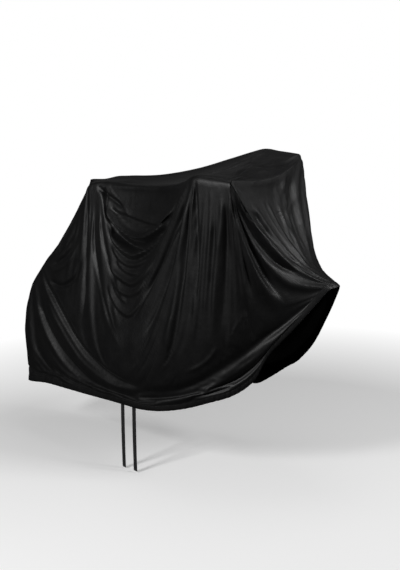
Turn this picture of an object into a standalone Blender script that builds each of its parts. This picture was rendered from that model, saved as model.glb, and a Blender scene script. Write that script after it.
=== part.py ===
"""A weatherproof bicycle cover, as it hangs over a bicycle that is not part of the model.

The coated cloth is tented over the saddle, both grips and the rear tyre.  Its hem is drawn in
under the near side and lifted over the front tyre, and two flat ties hang from it.

x runs forward from the handlebar stem and -y is the near side.  Every height in the tables is
above the ground under the tyres.  The model is lowered by REST_HEIGHT in the end, so that its
origin is the point under the cover's top where the stem carries it.
"""

from collections import namedtuple

import bpy
import numpy as np

# ---------------------------------------------------------------- driving sizes, in metres
REST_HEIGHT = 1.040
CLOTH = 0.0014
TIE_WIDTH = 0.022
TIE_THICK = 0.0016
TIE_DROP = 0.279
TIE_SEWN = 0.018
TIE_SWAY = 0.004
TIE_ROWS = 10
TIE_SPOTS = {"tie_rear": -0.427, "tie_front": -0.358}
SEAT_GAP = 0.0013

# How far down its wall each rib's "high" and "low" points lie, from 0 at the crest to 1 at the hem.
HIGH_SHARE = 0.34
LOW_SHARE = 0.67
# The crest is rounded over this share of the roof above it and of the wall below it.
ROOF_ROUNDING = 0.14
WALL_ROUNDING = 0.035
CREST_TURNS = (0.33, 0.67)

# Mesh rows from the spine to the crest, and from there to the hem.
NEAR_ROWS = (3, 26)
FAR_ROWS = (2, 12)

# A fold rises over the first share of its course and fades over the last one.
FOLD_LEAD = 0.16
FOLD_TAIL = 0.30
STEPS_A_SPAN = 10
# Each kind of fold starts and fully shows where the cloth faces its way by these two amounts.
FACING_SIDE = (0.0, 0.45)
FACING_FRONT = (0.35, 0.70)
FACING_UP = (0.45, 0.80)
# Folds die out over this height above the hem.
HEM_CALM = 0.05
LIP_SHARPNESS = 0.35
# The mesh is too coarse for the tightest folds, so each one is widened by this much.
SOFTENING = 0.030

COLLECTION = "bicycle_cover"

Rib = namedtuple("Rib", "name columns crest high low hem")
Spine = namedtuple("Spine", "name x z")
Fold = namedtuple("Fold", "name kind start_width end_width depth course")

# ---------------------------------------------------------------- the line along the cover's top
SPINE = [
    Spine("rear centre", -0.780, 0.932),
    Spine("rear corner", -0.775, 0.934),
    Spine("rear wheel side", -0.765, 0.936),
    Spine("saddle rear", -0.740, 0.938),
    Spine("saddle", -0.680, 0.942),
    Spine("saddle nose", -0.610, 0.946),
    Spine("swag rear", -0.465, 0.957),
    Spine("swag middle", -0.310, 0.982),
    Spine("swag front", -0.180, 1.013),
    Spine("grip rear", -0.075, 1.040),
    Spine("grip", 0.010, 1.046),
    Spine("grip front", 0.070, 1.044),
    Spine("fork", 0.085, 1.042),
    Spine("fender rear", 0.095, 1.040),
    Spine("fender", 0.105, 1.038),
    Spine("fender front", 0.112, 1.036),
    Spine("front edge", 0.118, 1.034),
    Spine("front face", 0.122, 1.032),
    Spine("front centre", 0.125, 1.030),
]

# ---------------------------------------------------------------- ribs from the crest down to the hem
# columns: how many mesh columns lie between this rib and the next
NEAR_RIBS = [
    Rib(
        "rear centre", 2,
        (-0.805, 0.000, 0.850), (-1.020, 0.000, 0.570), (-1.157, 0.000, 0.330), (-1.090, 0.000, 0.000),
    ),
    Rib(
        "rear corner", 3,
        (-0.795, -0.045, 0.868), (-1.000, -0.045, 0.575), (-1.130, -0.055, 0.320), (-1.080, -0.100, 0.000),
    ),
    Rib(
        "rear wheel side", 4,
        (-0.770, -0.065, 0.890), (-0.905, -0.085, 0.590), (-0.985, -0.120, 0.300), (-0.935, -0.150, 0.022),
    ),
    Rib(
        "saddle rear", 4,
        (-0.740, -0.080, 0.915), (-0.790, -0.110, 0.610), (-0.810, -0.165, 0.300), (-0.785, -0.185, 0.030),
    ),
    Rib(
        "saddle", 4,
        (-0.690, -0.082, 0.936), (-0.670, -0.130, 0.620), (-0.660, -0.205, 0.310), (-0.650, -0.215, 0.036),
    ),
    Rib(
        "saddle nose", 5,
        (-0.634, -0.082, 0.942), (-0.575, -0.150, 0.640), (-0.530, -0.250, 0.320), (-0.525, -0.245, 0.044),
    ),
    Rib(
        "swag rear", 5,
        (-0.463, -0.100, 0.950), (-0.440, -0.180, 0.650), (-0.415, -0.280, 0.330), (-0.410, -0.272, 0.050),
    ),
    Rib(
        "swag middle", 5,
        (-0.304, -0.155, 0.967), (-0.300, -0.225, 0.670), (-0.300, -0.305, 0.340), (-0.310, -0.290, 0.053),
    ),
    Rib(
        "swag front", 4,
        (-0.160, -0.230, 0.995), (-0.185, -0.265, 0.700), (-0.200, -0.315, 0.370), (-0.200, -0.290, 0.067),
    ),
    Rib(
        "grip rear", 4,
        (-0.064, -0.285, 1.036), (-0.085, -0.292, 0.720), (-0.100, -0.310, 0.400), (-0.100, -0.280, 0.093),
    ),
    Rib(
        "grip", 4,
        (0.020, -0.290, 1.036), (0.015, -0.295, 0.740), (0.010, -0.298, 0.430), (0.000, -0.260, 0.130),
    ),
    Rib(
        "grip front", 4,
        (0.098, -0.290, 1.030), (0.110, -0.275, 0.760), (0.112, -0.262, 0.470), (0.095, -0.230, 0.170),
    ),
    Rib(
        "fork", 4,
        (0.103, -0.288, 1.029), (0.142, -0.245, 0.790), (0.178, -0.218, 0.520), (0.168, -0.195, 0.235),
    ),
    Rib(
        "fender rear", 3,
        (0.105, -0.286, 1.028), (0.155, -0.222, 0.815), (0.220, -0.170, 0.600), (0.220, -0.165, 0.345),
    ),
    Rib(
        "fender", 2,
        (0.106, -0.284, 1.028), (0.160, -0.208, 0.838), (0.252, -0.128, 0.660), (0.300, -0.118, 0.447),
    ),
    Rib(
        "fender front", 2,
        (0.107, -0.282, 1.027), (0.162, -0.198, 0.856), (0.268, -0.098, 0.696), (0.356, -0.080, 0.525),
    ),
    Rib(
        "front edge", 2,
        (0.109, -0.278, 1.026), (0.163, -0.188, 0.870), (0.276, -0.082, 0.712), (0.400, -0.032, 0.592),
    ),
    Rib(
        "front face", 2,
        (0.122, -0.140, 1.014), (0.172, -0.090, 0.870), (0.286, -0.040, 0.714), (0.414, -0.004, 0.600),
    ),
    Rib(
        "front centre", 0,
        (0.128, 0.000, 1.018), (0.178, 0.010, 0.866), (0.290, 0.008, 0.710), (0.420, 0.014, 0.603),
    ),
]

FAR_RIBS = [
    Rib(
        "rear centre", 2,
        (-0.805, 0.000, 0.850), (-1.020, 0.000, 0.570), (-1.157, 0.000, 0.330), (-1.090, 0.000, 0.000),
    ),
    Rib(
        "rear corner", 2,
        (-0.800, 0.040, 0.865), (-0.995, 0.045, 0.580), (-1.130, 0.058, 0.320), (-1.075, 0.110, 0.000),
    ),
    Rib(
        "rear wheel side", 3,
        (-0.785, 0.055, 0.885), (-0.905, 0.090, 0.590), (-0.985, 0.130, 0.300), (-0.950, 0.160, 0.015),
    ),
    Rib(
        "saddle rear", 3,
        (-0.750, 0.065, 0.915), (-0.800, 0.115, 0.610), (-0.820, 0.170, 0.300), (-0.800, 0.200, 0.025),
    ),
    Rib(
        "saddle", 3,
        (-0.690, 0.068, 0.947), (-0.680, 0.130, 0.630), (-0.670, 0.205, 0.320), (-0.660, 0.232, 0.030),
    ),
    Rib(
        "saddle nose", 4,
        (-0.610, 0.070, 0.958), (-0.570, 0.150, 0.650), (-0.540, 0.238, 0.330), (-0.540, 0.262, 0.035),
    ),
    Rib(
        "swag rear", 4,
        (-0.468, 0.110, 0.971), (-0.440, 0.180, 0.680), (-0.420, 0.262, 0.350), (-0.420, 0.280, 0.040),
    ),
    Rib(
        "swag middle", 4,
        (-0.320, 0.172, 1.005), (-0.310, 0.222, 0.700), (-0.310, 0.282, 0.360), (-0.310, 0.288, 0.045),
    ),
    Rib(
        "swag front", 3,
        (-0.185, 0.235, 1.053), (-0.200, 0.262, 0.730), (-0.210, 0.287, 0.370), (-0.210, 0.275, 0.050),
    ),
    Rib(
        "grip rear", 3,
        (-0.070, 0.280, 1.091), (-0.090, 0.290, 0.760), (-0.100, 0.277, 0.390), (-0.120, 0.248, 0.060),
    ),
    Rib(
        "grip", 3,
        (0.010, 0.285, 1.086), (0.010, 0.292, 0.780), (0.000, 0.266, 0.410), (-0.050, 0.212, 0.078),
    ),
    Rib(
        "grip front", 3,
        (0.090, 0.285, 1.080), (0.110, 0.280, 0.790), (0.100, 0.240, 0.430), (0.030, 0.190, 0.130),
    ),
    Rib(
        "fork", 3,
        (0.098, 0.284, 1.077), (0.130, 0.262, 0.800), (0.155, 0.215, 0.480), (0.105, 0.175, 0.185),
    ),
    Rib(
        "fender rear", 2,
        (0.101, 0.283, 1.068), (0.142, 0.258, 0.808), (0.195, 0.188, 0.560), (0.185, 0.155, 0.243),
    ),
    Rib(
        "fender", 2,
        (0.104, 0.282, 1.064), (0.150, 0.252, 0.820), (0.226, 0.165, 0.620), (0.262, 0.125, 0.332),
    ),
    Rib(
        "fender front", 2,
        (0.106, 0.280, 1.060), (0.155, 0.245, 0.834), (0.248, 0.142, 0.668), (0.335, 0.088, 0.452),
    ),
    Rib(
        "front edge", 2,
        (0.110, 0.272, 1.054), (0.160, 0.232, 0.850), (0.262, 0.122, 0.694), (0.393, 0.056, 0.560),
    ),
    Rib(
        "front face", 3,
        (0.124, 0.150, 1.035), (0.174, 0.115, 0.866), (0.282, 0.062, 0.706), (0.414, 0.032, 0.596),
    ),
    Rib(
        "front centre", 0,
        (0.128, 0.000, 1.018), (0.178, 0.010, 0.866), (0.290, 0.008, 0.710), (0.420, 0.014, 0.603),
    ),
]

# ---------------------------------------------------------------- folds, as (x, z) courses on the two sides
# A lip is a ridge that falls off steeply on the right-hand side of its course.
NEAR_FOLDS = [
    Fold(
        "first swag", "lip", 0.024, 0.034, 0.028,
        ((-0.64, 0.90), (-0.56, 0.83), (-0.42, 0.80), (-0.27, 0.81), (-0.19, 0.87), (-0.12, 0.99)),
    ),
    Fold(
        "second swag", "lip", 0.024, 0.034, 0.034,
        ((-0.63, 0.87), (-0.55, 0.77), (-0.45, 0.72), (-0.34, 0.73), (-0.24, 0.79), (-0.17, 0.90)),
    ),
    Fold(
        "third swag", "lip", 0.020, 0.030, 0.028,
        ((-0.62, 0.83), (-0.55, 0.71), (-0.46, 0.67), (-0.37, 0.68), (-0.26, 0.74), (-0.18, 0.85)),
    ),
    Fold(
        "fourth swag", "lip", 0.020, 0.030, 0.026,
        ((-0.62, 0.76), (-0.54, 0.64), (-0.44, 0.60), (-0.34, 0.62), (-0.25, 0.69), (-0.18, 0.80)),
    ),
    Fold(
        "fifth swag", "lip", 0.020, 0.028, 0.022,
        ((-0.61, 0.71), (-0.52, 0.57), (-0.42, 0.52), (-0.33, 0.55), (-0.25, 0.65)),
    ),
    Fold(
        "sixth swag", "lip", 0.018, 0.026, 0.016,
        ((-0.59, 0.64), (-0.50, 0.50), (-0.41, 0.45), (-0.34, 0.49), (-0.28, 0.58)),
    ),
    Fold(
        "saddle rear valley", "trough", 0.014, 0.030, 0.034,
        ((-0.75, 0.90), (-0.73, 0.72), (-0.72, 0.56), (-0.72, 0.40), (-0.74, 0.28)),
    ),
    Fold(
        "saddle ridge", "ridge", 0.014, 0.032, 0.026,
        ((-0.70, 0.92), (-0.70, 0.67), (-0.68, 0.53), (-0.64, 0.42), (-0.60, 0.29)),
    ),
    Fold(
        "saddle valley", "trough", 0.010, 0.026, 0.028,
        ((-0.68, 0.91), (-0.66, 0.78), (-0.65, 0.65), (-0.61, 0.50), (-0.54, 0.38), (-0.47, 0.28)),
    ),
    Fold(
        "saddle front ridge", "ridge", 0.014, 0.030, 0.022,
        ((-0.66, 0.90), (-0.63, 0.76), (-0.58, 0.64), (-0.52, 0.53), (-0.44, 0.42)),
    ),
    Fold(
        "saddle front valley", "trough", 0.010, 0.022, 0.018,
        ((-0.64, 0.80), (-0.60, 0.68), (-0.54, 0.56), (-0.47, 0.46)),
    ),
    Fold(
        "grip rear ridge", "ridge", 0.014, 0.046, 0.036,
        ((-0.08, 1.03), (-0.12, 0.90), (-0.18, 0.75), (-0.26, 0.61), (-0.33, 0.48), (-0.36, 0.35)),
    ),
    Fold(
        "grip rear valley", "trough", 0.010, 0.028, 0.030,
        ((-0.06, 1.03), (-0.05, 0.90), (-0.04, 0.77), (-0.03, 0.64), (0.00, 0.43)),
    ),
    Fold(
        "grip middle ridge", "ridge", 0.010, 0.032, 0.022,
        ((-0.07, 1.03), (-0.08, 0.86), (-0.10, 0.72), (-0.11, 0.61), (-0.14, 0.46)),
    ),
    Fold(
        "grip middle valley", "trough", 0.010, 0.028, 0.022,
        ((-0.08, 0.97), (-0.11, 0.80), (-0.17, 0.66), (-0.22, 0.53), (-0.25, 0.42)),
    ),
    Fold(
        "swag end valley", "trough", 0.012, 0.030, 0.022,
        ((-0.11, 1.00), (-0.14, 0.92), (-0.19, 0.82), (-0.26, 0.70)),
    ),
    Fold(
        "belly valley", "trough", 0.012, 0.030, 0.016,
        ((-0.07, 0.72), (-0.08, 0.56), (-0.09, 0.40), (-0.10, 0.28)),
    ),
    Fold(
        "bar ridge", "ridge", 0.012, 0.032, 0.020,
        ((0.05, 0.98), (0.04, 0.81), (0.03, 0.68), (0.02, 0.55), (0.01, 0.42)),
    ),
    Fold(
        "bar valley", "trough", 0.010, 0.024, 0.026,
        ((0.09, 1.02), (0.07, 0.89), (0.06, 0.78), (0.06, 0.64), (0.04, 0.46)),
    ),
    Fold(
        "first fan ridge", "ridge", 0.010, 0.026, 0.030,
        ((0.11, 1.00), (0.12, 0.87), (0.12, 0.76), (0.14, 0.67), (0.15, 0.58), (0.17, 0.51)),
    ),
    Fold(
        "kinked ridge", "ridge", 0.022, 0.030, 0.024,
        ((0.17, 0.53), (0.12, 0.47), (0.10, 0.41), (0.08, 0.34)),
    ),
    Fold(
        "first fan valley", "trough", 0.008, 0.024, 0.020,
        ((0.11, 0.96), (0.13, 0.80), (0.15, 0.69), (0.18, 0.59), (0.20, 0.50)),
    ),
    Fold(
        "second fan ridge", "ridge", 0.010, 0.026, 0.026,
        ((0.11, 0.96), (0.14, 0.79), (0.17, 0.68), (0.20, 0.60), (0.24, 0.52)),
    ),
    Fold(
        "second fan valley", "trough", 0.012, 0.028, 0.024,
        ((0.12, 0.95), (0.16, 0.80), (0.20, 0.68), (0.27, 0.53)),
    ),
    Fold(
        "great fan valley", "trough", 0.016, 0.045, 0.055,
        ((0.12, 0.99), (0.14, 0.89), (0.18, 0.77), (0.24, 0.68), (0.33, 0.62)),
    ),
    Fold(
        "rear sweep valley", "trough", 0.026, 0.032, 0.034,
        ((-1.08, 0.53), (-1.02, 0.47), (-0.92, 0.37), (-0.79, 0.28), (-0.63, 0.21), (-0.43, 0.17),
         (-0.26, 0.15), (-0.14, 0.17)),
    ),
    Fold(
        "rear sweep ridge", "ridge", 0.024, 0.028, 0.022,
        ((-1.12, 0.47), (-1.04, 0.40), (-0.93, 0.31), (-0.73, 0.21), (-0.48, 0.13), (-0.30, 0.11),
         (-0.16, 0.13)),
    ),
    Fold(
        "middle sweep valley", "trough", 0.020, 0.028, 0.022,
        ((-1.13, 0.40), (-1.07, 0.29), (-0.92, 0.19), (-0.73, 0.13), (-0.50, 0.08)),
    ),
    Fold(
        "middle sweep ridge", "ridge", 0.018, 0.026, 0.016,
        ((-1.12, 0.33), (-1.04, 0.24), (-0.88, 0.15), (-0.66, 0.09), (-0.46, 0.06)),
    ),
    Fold(
        "low sweep valley", "trough", 0.016, 0.024, 0.014,
        ((-1.11, 0.27), (-1.05, 0.18), (-0.94, 0.11), (-0.79, 0.05)),
    ),
    Fold(
        "rear swag", "trough", 0.014, 0.022, 0.024,
        ((-1.04, 0.52), (-0.95, 0.54), (-0.84, 0.60), (-0.77, 0.71), (-0.75, 0.84)),
    ),
    Fold(
        "second rear swag", "trough", 0.014, 0.024, 0.022,
        ((-1.00, 0.48), (-0.88, 0.48), (-0.79, 0.56), (-0.75, 0.72)),
    ),
    Fold(
        "hem roll", "ridge", 0.030, 0.028, 0.034,
        ((-0.46, 0.11), (-0.28, 0.11), (-0.16, 0.14), (-0.04, 0.19), (0.06, 0.25), (0.17, 0.34),
         (0.24, 0.42), (0.31, 0.51), (0.38, 0.60)),
    ),
    Fold(
        "hem valley", "trough", 0.026, 0.032, 0.046,
        ((-0.24, 0.16), (-0.11, 0.20), (-0.01, 0.26), (0.09, 0.34), (0.19, 0.43), (0.28, 0.53),
         (0.34, 0.61)),
    ),
    Fold(
        "belly crease", "ridge", 0.016, 0.022, 0.016,
        ((-0.66, 0.29), (-0.52, 0.30), (-0.42, 0.27), (-0.37, 0.20)),
    ),
]

FAR_FOLDS = [
    Fold(
        "first swag", "lip", 0.022, 0.034, 0.020,
        ((-0.61, 0.91), (-0.52, 0.84), (-0.40, 0.81), (-0.27, 0.84), (-0.16, 0.95)),
    ),
    Fold(
        "second swag", "lip", 0.022, 0.034, 0.022,
        ((-0.62, 0.84), (-0.53, 0.73), (-0.41, 0.69), (-0.29, 0.73), (-0.17, 0.88)),
    ),
    Fold(
        "third swag", "lip", 0.020, 0.032, 0.018,
        ((-0.61, 0.73), (-0.52, 0.61), (-0.42, 0.57), (-0.30, 0.62), (-0.21, 0.75)),
    ),
    Fold(
        "saddle valley", "trough", 0.014, 0.034, 0.024,
        ((-0.70, 0.91), (-0.71, 0.70), (-0.70, 0.50), (-0.66, 0.32)),
    ),
    Fold(
        "saddle ridge", "ridge", 0.014, 0.036, 0.018,
        ((-0.66, 0.92), (-0.65, 0.70), (-0.60, 0.52), (-0.52, 0.36)),
    ),
    Fold(
        "grip rear ridge", "ridge", 0.014, 0.042, 0.026,
        ((-0.08, 1.07), (-0.12, 0.88), (-0.19, 0.68), (-0.27, 0.48), (-0.31, 0.32)),
    ),
    Fold(
        "grip rear valley", "trough", 0.012, 0.034, 0.022,
        ((-0.05, 1.06), (-0.05, 0.85), (-0.06, 0.64), (-0.08, 0.42)),
    ),
    Fold(
        "grip front valley", "trough", 0.012, 0.034, 0.024,
        ((0.08, 1.05), (0.07, 0.85), (0.08, 0.65), (0.07, 0.44)),
    ),
    Fold(
        "fan ridge", "ridge", 0.012, 0.032, 0.020,
        ((0.10, 1.04), (0.13, 0.85), (0.16, 0.66), (0.20, 0.50)),
    ),
    Fold(
        "fan valley", "trough", 0.014, 0.040, 0.028,
        ((0.11, 0.98), (0.16, 0.80), (0.22, 0.66), (0.31, 0.57)),
    ),
    Fold(
        "rear sweep valley", "trough", 0.022, 0.030, 0.030,
        ((-1.08, 0.50), (-0.97, 0.38), (-0.80, 0.27), (-0.58, 0.20), (-0.34, 0.18)),
    ),
    Fold(
        "rear sweep ridge", "ridge", 0.022, 0.030, 0.024,
        ((-1.11, 0.42), (-0.98, 0.29), (-0.78, 0.19), (-0.54, 0.12), (-0.30, 0.11)),
    ),
    Fold(
        "rear swag", "trough", 0.016, 0.026, 0.018,
        ((-1.03, 0.52), (-0.90, 0.53), (-0.80, 0.63), (-0.76, 0.80)),
    ),
    Fold(
        "hem roll", "ridge", 0.032, 0.030, 0.026,
        ((-0.44, 0.11), (-0.24, 0.12), (-0.06, 0.16), (0.08, 0.22), (0.20, 0.34), (0.30, 0.48),
         (0.37, 0.58)),
    ),
]

# On the front face a course is given as (y, z), and on the roof as (x, y).
FRONT_FOLDS = [
    Fold(
        "middle ridge", "ridge", 0.014, 0.022, 0.012,
        ((0.10, 1.03), (0.02, 0.97), (0.00, 0.88), (-0.03, 0.80), (-0.04, 0.72), (-0.01, 0.65)),
    ),
    Fold(
        "far ridge", "ridge", 0.014, 0.022, 0.012,
        ((0.22, 1.03), (0.16, 0.91), (0.11, 0.82), (0.05, 0.72), (0.01, 0.64)),
    ),
    Fold(
        "middle valley", "trough", 0.012, 0.022, 0.014,
        ((0.14, 1.02), (0.07, 0.91), (0.01, 0.80), (-0.01, 0.70)),
    ),
    Fold("far valley", "trough", 0.012, 0.022, 0.012, ((0.26, 1.02), (0.17, 0.83), (0.11, 0.74))),
    Fold(
        "near valley", "trough", 0.014, 0.022, 0.014,
        ((-0.18, 0.90), (-0.12, 0.79), (-0.07, 0.71), (-0.04, 0.66)),
    ),
    Fold(
        "near ridge", "ridge", 0.012, 0.020, 0.010,
        ((-0.14, 0.92), (-0.10, 0.82), (-0.06, 0.74), (-0.02, 0.67)),
    ),
]
ROOF_FOLDS = [
    Fold("bar crease", "ridge", 0.012, 0.014, 0.008, ((0.10, -0.27), (0.03, 0.00), (-0.04, 0.25))),
    Fold("roof valley", "trough", 0.018, 0.022, 0.010, ((-0.02, -0.24), (-0.10, 0.00), (-0.16, 0.18))),
]


# ---------------------------------------------------------------- curves
def curve_through(stations, points, station):
    """Point at one station of a smooth curve through the given points, or of a row of such curves."""
    gaps = np.diff(stations)
    i = int(np.clip(np.searchsorted(stations, station, side="right") - 1, 0, len(gaps) - 1))

    def slope(j):
        if j == 0:
            return (points[1] - points[0]) / gaps[0]
        if j == len(gaps):
            return (points[-1] - points[-2]) / gaps[-1]
        before = (points[j] - points[j - 1]) / gaps[j - 1]
        after = (points[j + 1] - points[j]) / gaps[j]
        return (before * gaps[j] + after * gaps[j - 1]) / (gaps[j - 1] + gaps[j])

    t = (station - stations[i]) / gaps[i]
    return (
        (2 * t**3 - 3 * t**2 + 1) * points[i]
        + (t**3 - 2 * t**2 + t) * gaps[i] * slope(i)
        + (3 * t**2 - 2 * t**3) * points[i + 1]
        + (t**3 - t**2) * gaps[i] * slope(i + 1)
    )


def smooth_step(value):
    """0 below 0, 1 above 1, and an S-shaped rise between."""
    value = np.clip(value, 0.0, 1.0)
    return value * value * (3 - 2 * value)


def rise_between(ends, value):
    """0 below the first end, 1 above the second, and an S-shaped rise between."""
    return smooth_step((value - ends[0]) / (ends[1] - ends[0]))


# ---------------------------------------------------------------- the plain tent, before its folds
def rib_stations(ribs):
    """Column number at which each rib stands."""
    return np.concatenate([[0], np.cumsum([rib.columns for rib in ribs[:-1]])]).astype(float)


def tent_side(ribs, other_ribs, roof_rows, wall_rows):
    """Grid of points: a row per step from the spine down to the hem, a column per step forward."""
    own = rib_stations(ribs)
    other = rib_stations(other_ribs)
    columns = np.arange(own[-1] + 1)
    # The other side's next ribs keep the cloth smooth where the two sides meet, front and rear.
    around = [other_ribs[1], *ribs, other_ribs[-2]]
    stations = np.concatenate([[-other[1]], own, [own[-1] + other[-1] - other[-2]]])

    def across(name):
        points = np.array([getattr(rib, name) for rib in around])
        return np.array([curve_through(stations, points, column) for column in columns])

    top = np.array([(row.x, 0.0, row.z) for row in SPINE])
    spine = np.array([curve_through(own, top, column) for column in columns])
    crest = across("crest")
    wall = np.array([crest, across("high"), across("low"), across("hem")])
    wall_marks = (0.0, HIGH_SHARE, LOW_SHARE, 1.0)

    def on_roof(share):
        return spine + (crest - spine) * share

    def on_wall(share):
        return curve_through(wall_marks, wall, share)

    before = on_roof(1 - ROOF_ROUNDING)
    after = on_wall(WALL_ROUNDING)
    rows = [on_roof((1 - ROOF_ROUNDING) * i / roof_rows) for i in range(roof_rows + 1)]
    for turn in CREST_TURNS:
        rows.append((1 - turn) ** 2 * before + 2 * turn * (1 - turn) * crest + turn**2 * after)
    rows += [on_wall(WALL_ROUNDING + (1 - WALL_ROUNDING) * i / wall_rows) for i in range(wall_rows + 1)]
    return np.array(rows)


def grid_normals(grid, outward):
    """Unit normals of a grid of points, turned to the side that `outward` tells."""
    normals = np.cross(np.gradient(grid, axis=1), np.gradient(grid, axis=0))
    return outward * normals / np.maximum(np.linalg.norm(normals, axis=2), 1e-9)[:, :, None]


# ---------------------------------------------------------------- folds
def fold_path(course):
    """Smooth path through a fold's few points."""
    points = np.array(course, float)
    marks = np.concatenate([[0], np.cumsum(np.linalg.norm(np.diff(points, axis=0), axis=1))])
    count = STEPS_A_SPAN * (len(points) - 1)
    return np.array([curve_through(marks, points, marks[-1] * i / count) for i in range(count + 1)])


def fold_height(fold, across, along):
    """Height of one fold at flat places on the cloth."""
    path = fold_path(fold.course)
    nearest = np.full(across.shape, np.inf)
    offset = np.zeros(across.shape)
    share = np.zeros(across.shape)
    for i in range(len(path) - 1):
        step = path[i + 1] - path[i]
        length = np.hypot(*step)
        t = ((across - path[i, 0]) * step[0] + (along - path[i, 1]) * step[1]) / length**2
        t = np.clip(t, 0.0, 1.0)
        away = np.hypot(across - path[i, 0] - t * step[0], along - path[i, 1] - t * step[1])
        side = (across - path[i, 0]) * step[1] - (along - path[i, 1]) * step[0]
        closer = away < nearest
        nearest = np.where(closer, away, nearest)
        offset = np.where(closer, np.sign(side) * away, offset)
        share = np.where(closer, (i + t) / (len(path) - 1), share)
    width = fold.start_width + (fold.end_width - fold.start_width) * share
    if fold.kind == "lip":
        width = np.where(offset > 0, LIP_SHARPNESS * width, width)
    soft_width = np.hypot(width, SOFTENING)
    fade = smooth_step(share / FOLD_LEAD) * smooth_step((1 - share) / FOLD_TAIL)
    height = fold.depth * fade * width / soft_width * np.exp(-((nearest / soft_width) ** 2))
    return -height if fold.kind == "trough" else height


def folded(grid, outward, own_folds):
    """The tent's side with its folds pressed into it along its plain normals."""
    x, y, z = np.moveaxis(grid, 2, 0)
    normals = grid_normals(grid, outward)
    facing_side = rise_between(FACING_SIDE, normals[:, :, 1] * outward)
    facing_front = rise_between(FACING_FRONT, normals[:, :, 0])
    facing_up = rise_between(FACING_UP, normals[:, :, 2])
    height = np.zeros(x.shape)
    for folds, across, along, share in (
        (own_folds, x, z, facing_side),
        (FRONT_FOLDS, y, z, facing_front),
        (ROOF_FOLDS, x, y, facing_up),
    ):
        for fold in folds:
            height += share * fold_height(fold, across, along)
    steps = np.linalg.norm(np.diff(grid, axis=0), axis=2)
    above_hem = np.concatenate([np.cumsum(steps[::-1], axis=0)[::-1], np.zeros((1, grid.shape[1]))])
    height *= smooth_step(above_hem / HEM_CALM)
    return grid + normals * height[:, :, None]


# ---------------------------------------------------------------- meshes
def zip_edges(first, second, points):
    """Triangles between two lines of vertices with unlike counts."""

    def progress(line):
        steps = [np.linalg.norm(points[b] - points[a]) for a, b in zip(line, line[1:])]
        return np.concatenate([[0], np.cumsum(steps)]) / sum(steps)

    first_done = progress(first)
    second_done = progress(second)
    faces = []
    i = j = 0
    while i < len(first) - 1 or j < len(second) - 1:
        ahead = j == len(second) - 1 or (i < len(first) - 1 and first_done[i + 1] <= second_done[j + 1])
        if ahead:
            faces.append((first[i], second[j], first[i + 1]))
            i += 1
        else:
            faces.append((first[i], second[j], second[j + 1]))
            j += 1
    return faces


def grid_faces(ids, points):
    """Two triangles for each cell of a grid, cut along its shorter diagonal, which follows a fold."""
    faces = []
    for row in range(ids.shape[0] - 1):
        for column in range(ids.shape[1] - 1):
            a, b = ids[row, column], ids[row + 1, column]
            c, d = ids[row + 1, column + 1], ids[row, column + 1]
            if np.linalg.norm(points[a] - points[c]) < np.linalg.norm(points[b] - points[d]):
                faces += [(a, b, c), (a, c, d)]
            else:
                faces += [(a, b, d), (b, c, d)]
    return faces


def cover_surface():
    """Vertices and faces of the folded cloth, an open surface with its faces pointing out."""
    near = folded(tent_side(NEAR_RIBS, FAR_RIBS, *NEAR_ROWS), -1, NEAR_FOLDS)
    far = folded(tent_side(FAR_RIBS, NEAR_RIBS, *FAR_ROWS), 1, FAR_FOLDS)[1:, 1:-1]
    points = np.concatenate([near.reshape(-1, 3), far.reshape(-1, 3)])
    near_ids = np.arange(near[:, :, 0].size).reshape(near.shape[:2])
    far_ids = near_ids.size + np.arange(far[:, :, 0].size).reshape(far.shape[:2])
    faces = grid_faces(near_ids, points)
    faces += [face[::-1] for face in grid_faces(far_ids, points)]
    near_edge = [*near_ids[::-1, 0], *near_ids[0, 1:], *near_ids[1:, -1]]
    far_edge = [*far_ids[::-1, 0], *far_ids[0, 1:], *far_ids[1:, -1]]
    faces += [face[::-1] for face in zip_edges(near_edge, far_edge, points)]
    points[:, 2] -= REST_HEIGHT
    return points, [tuple(int(i) for i in face) for face in faces], near


def add_sheet(name, points, faces, material, thickness, offset):
    """A sheet of the given thickness, from an open surface."""
    mesh = bpy.data.meshes.new(name)
    mesh.from_pydata([tuple(point) for point in points], [], faces)
    mesh.shade_smooth()
    mesh.materials.append(material)
    sheet = bpy.data.objects.new(name, mesh)
    bpy.data.collections[COLLECTION].objects.link(sheet)
    solidify = sheet.modifiers.new("cloth", "SOLIDIFY")
    solidify.thickness = thickness
    solidify.offset = offset
    return sheet


def plain_material(name, colour, roughness):
    material = bpy.data.materials.new(name)
    material.use_nodes = True
    shader = material.node_tree.nodes["Principled BSDF"]
    shader.inputs["Base Color"].default_value = (*colour, 1.0)
    shader.inputs["Roughness"].default_value = roughness
    shader.inputs["Metallic"].default_value = 0.0
    return material


def point_at(line, x):
    """Point of a line of points that runs forward, where it passes x."""
    return np.array([np.interp(x, line[:, 0], line[:, axis]) for axis in range(3)])


def inward_bulge(line, ends, inward):
    """How far a line of cloth stands inward of the straight line between two of its points."""
    between = line[(line[:, 0] > ends[0, 0]) & (line[:, 0] < ends[1, 0])]
    share = (between[:, 0] - ends[0, 0]) / (ends[1, 0] - ends[0, 0])
    chord = ends[0] + share[:, None] * (ends[1] - ends[0])
    return max([0.0, *((between - chord) @ inward)])


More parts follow.
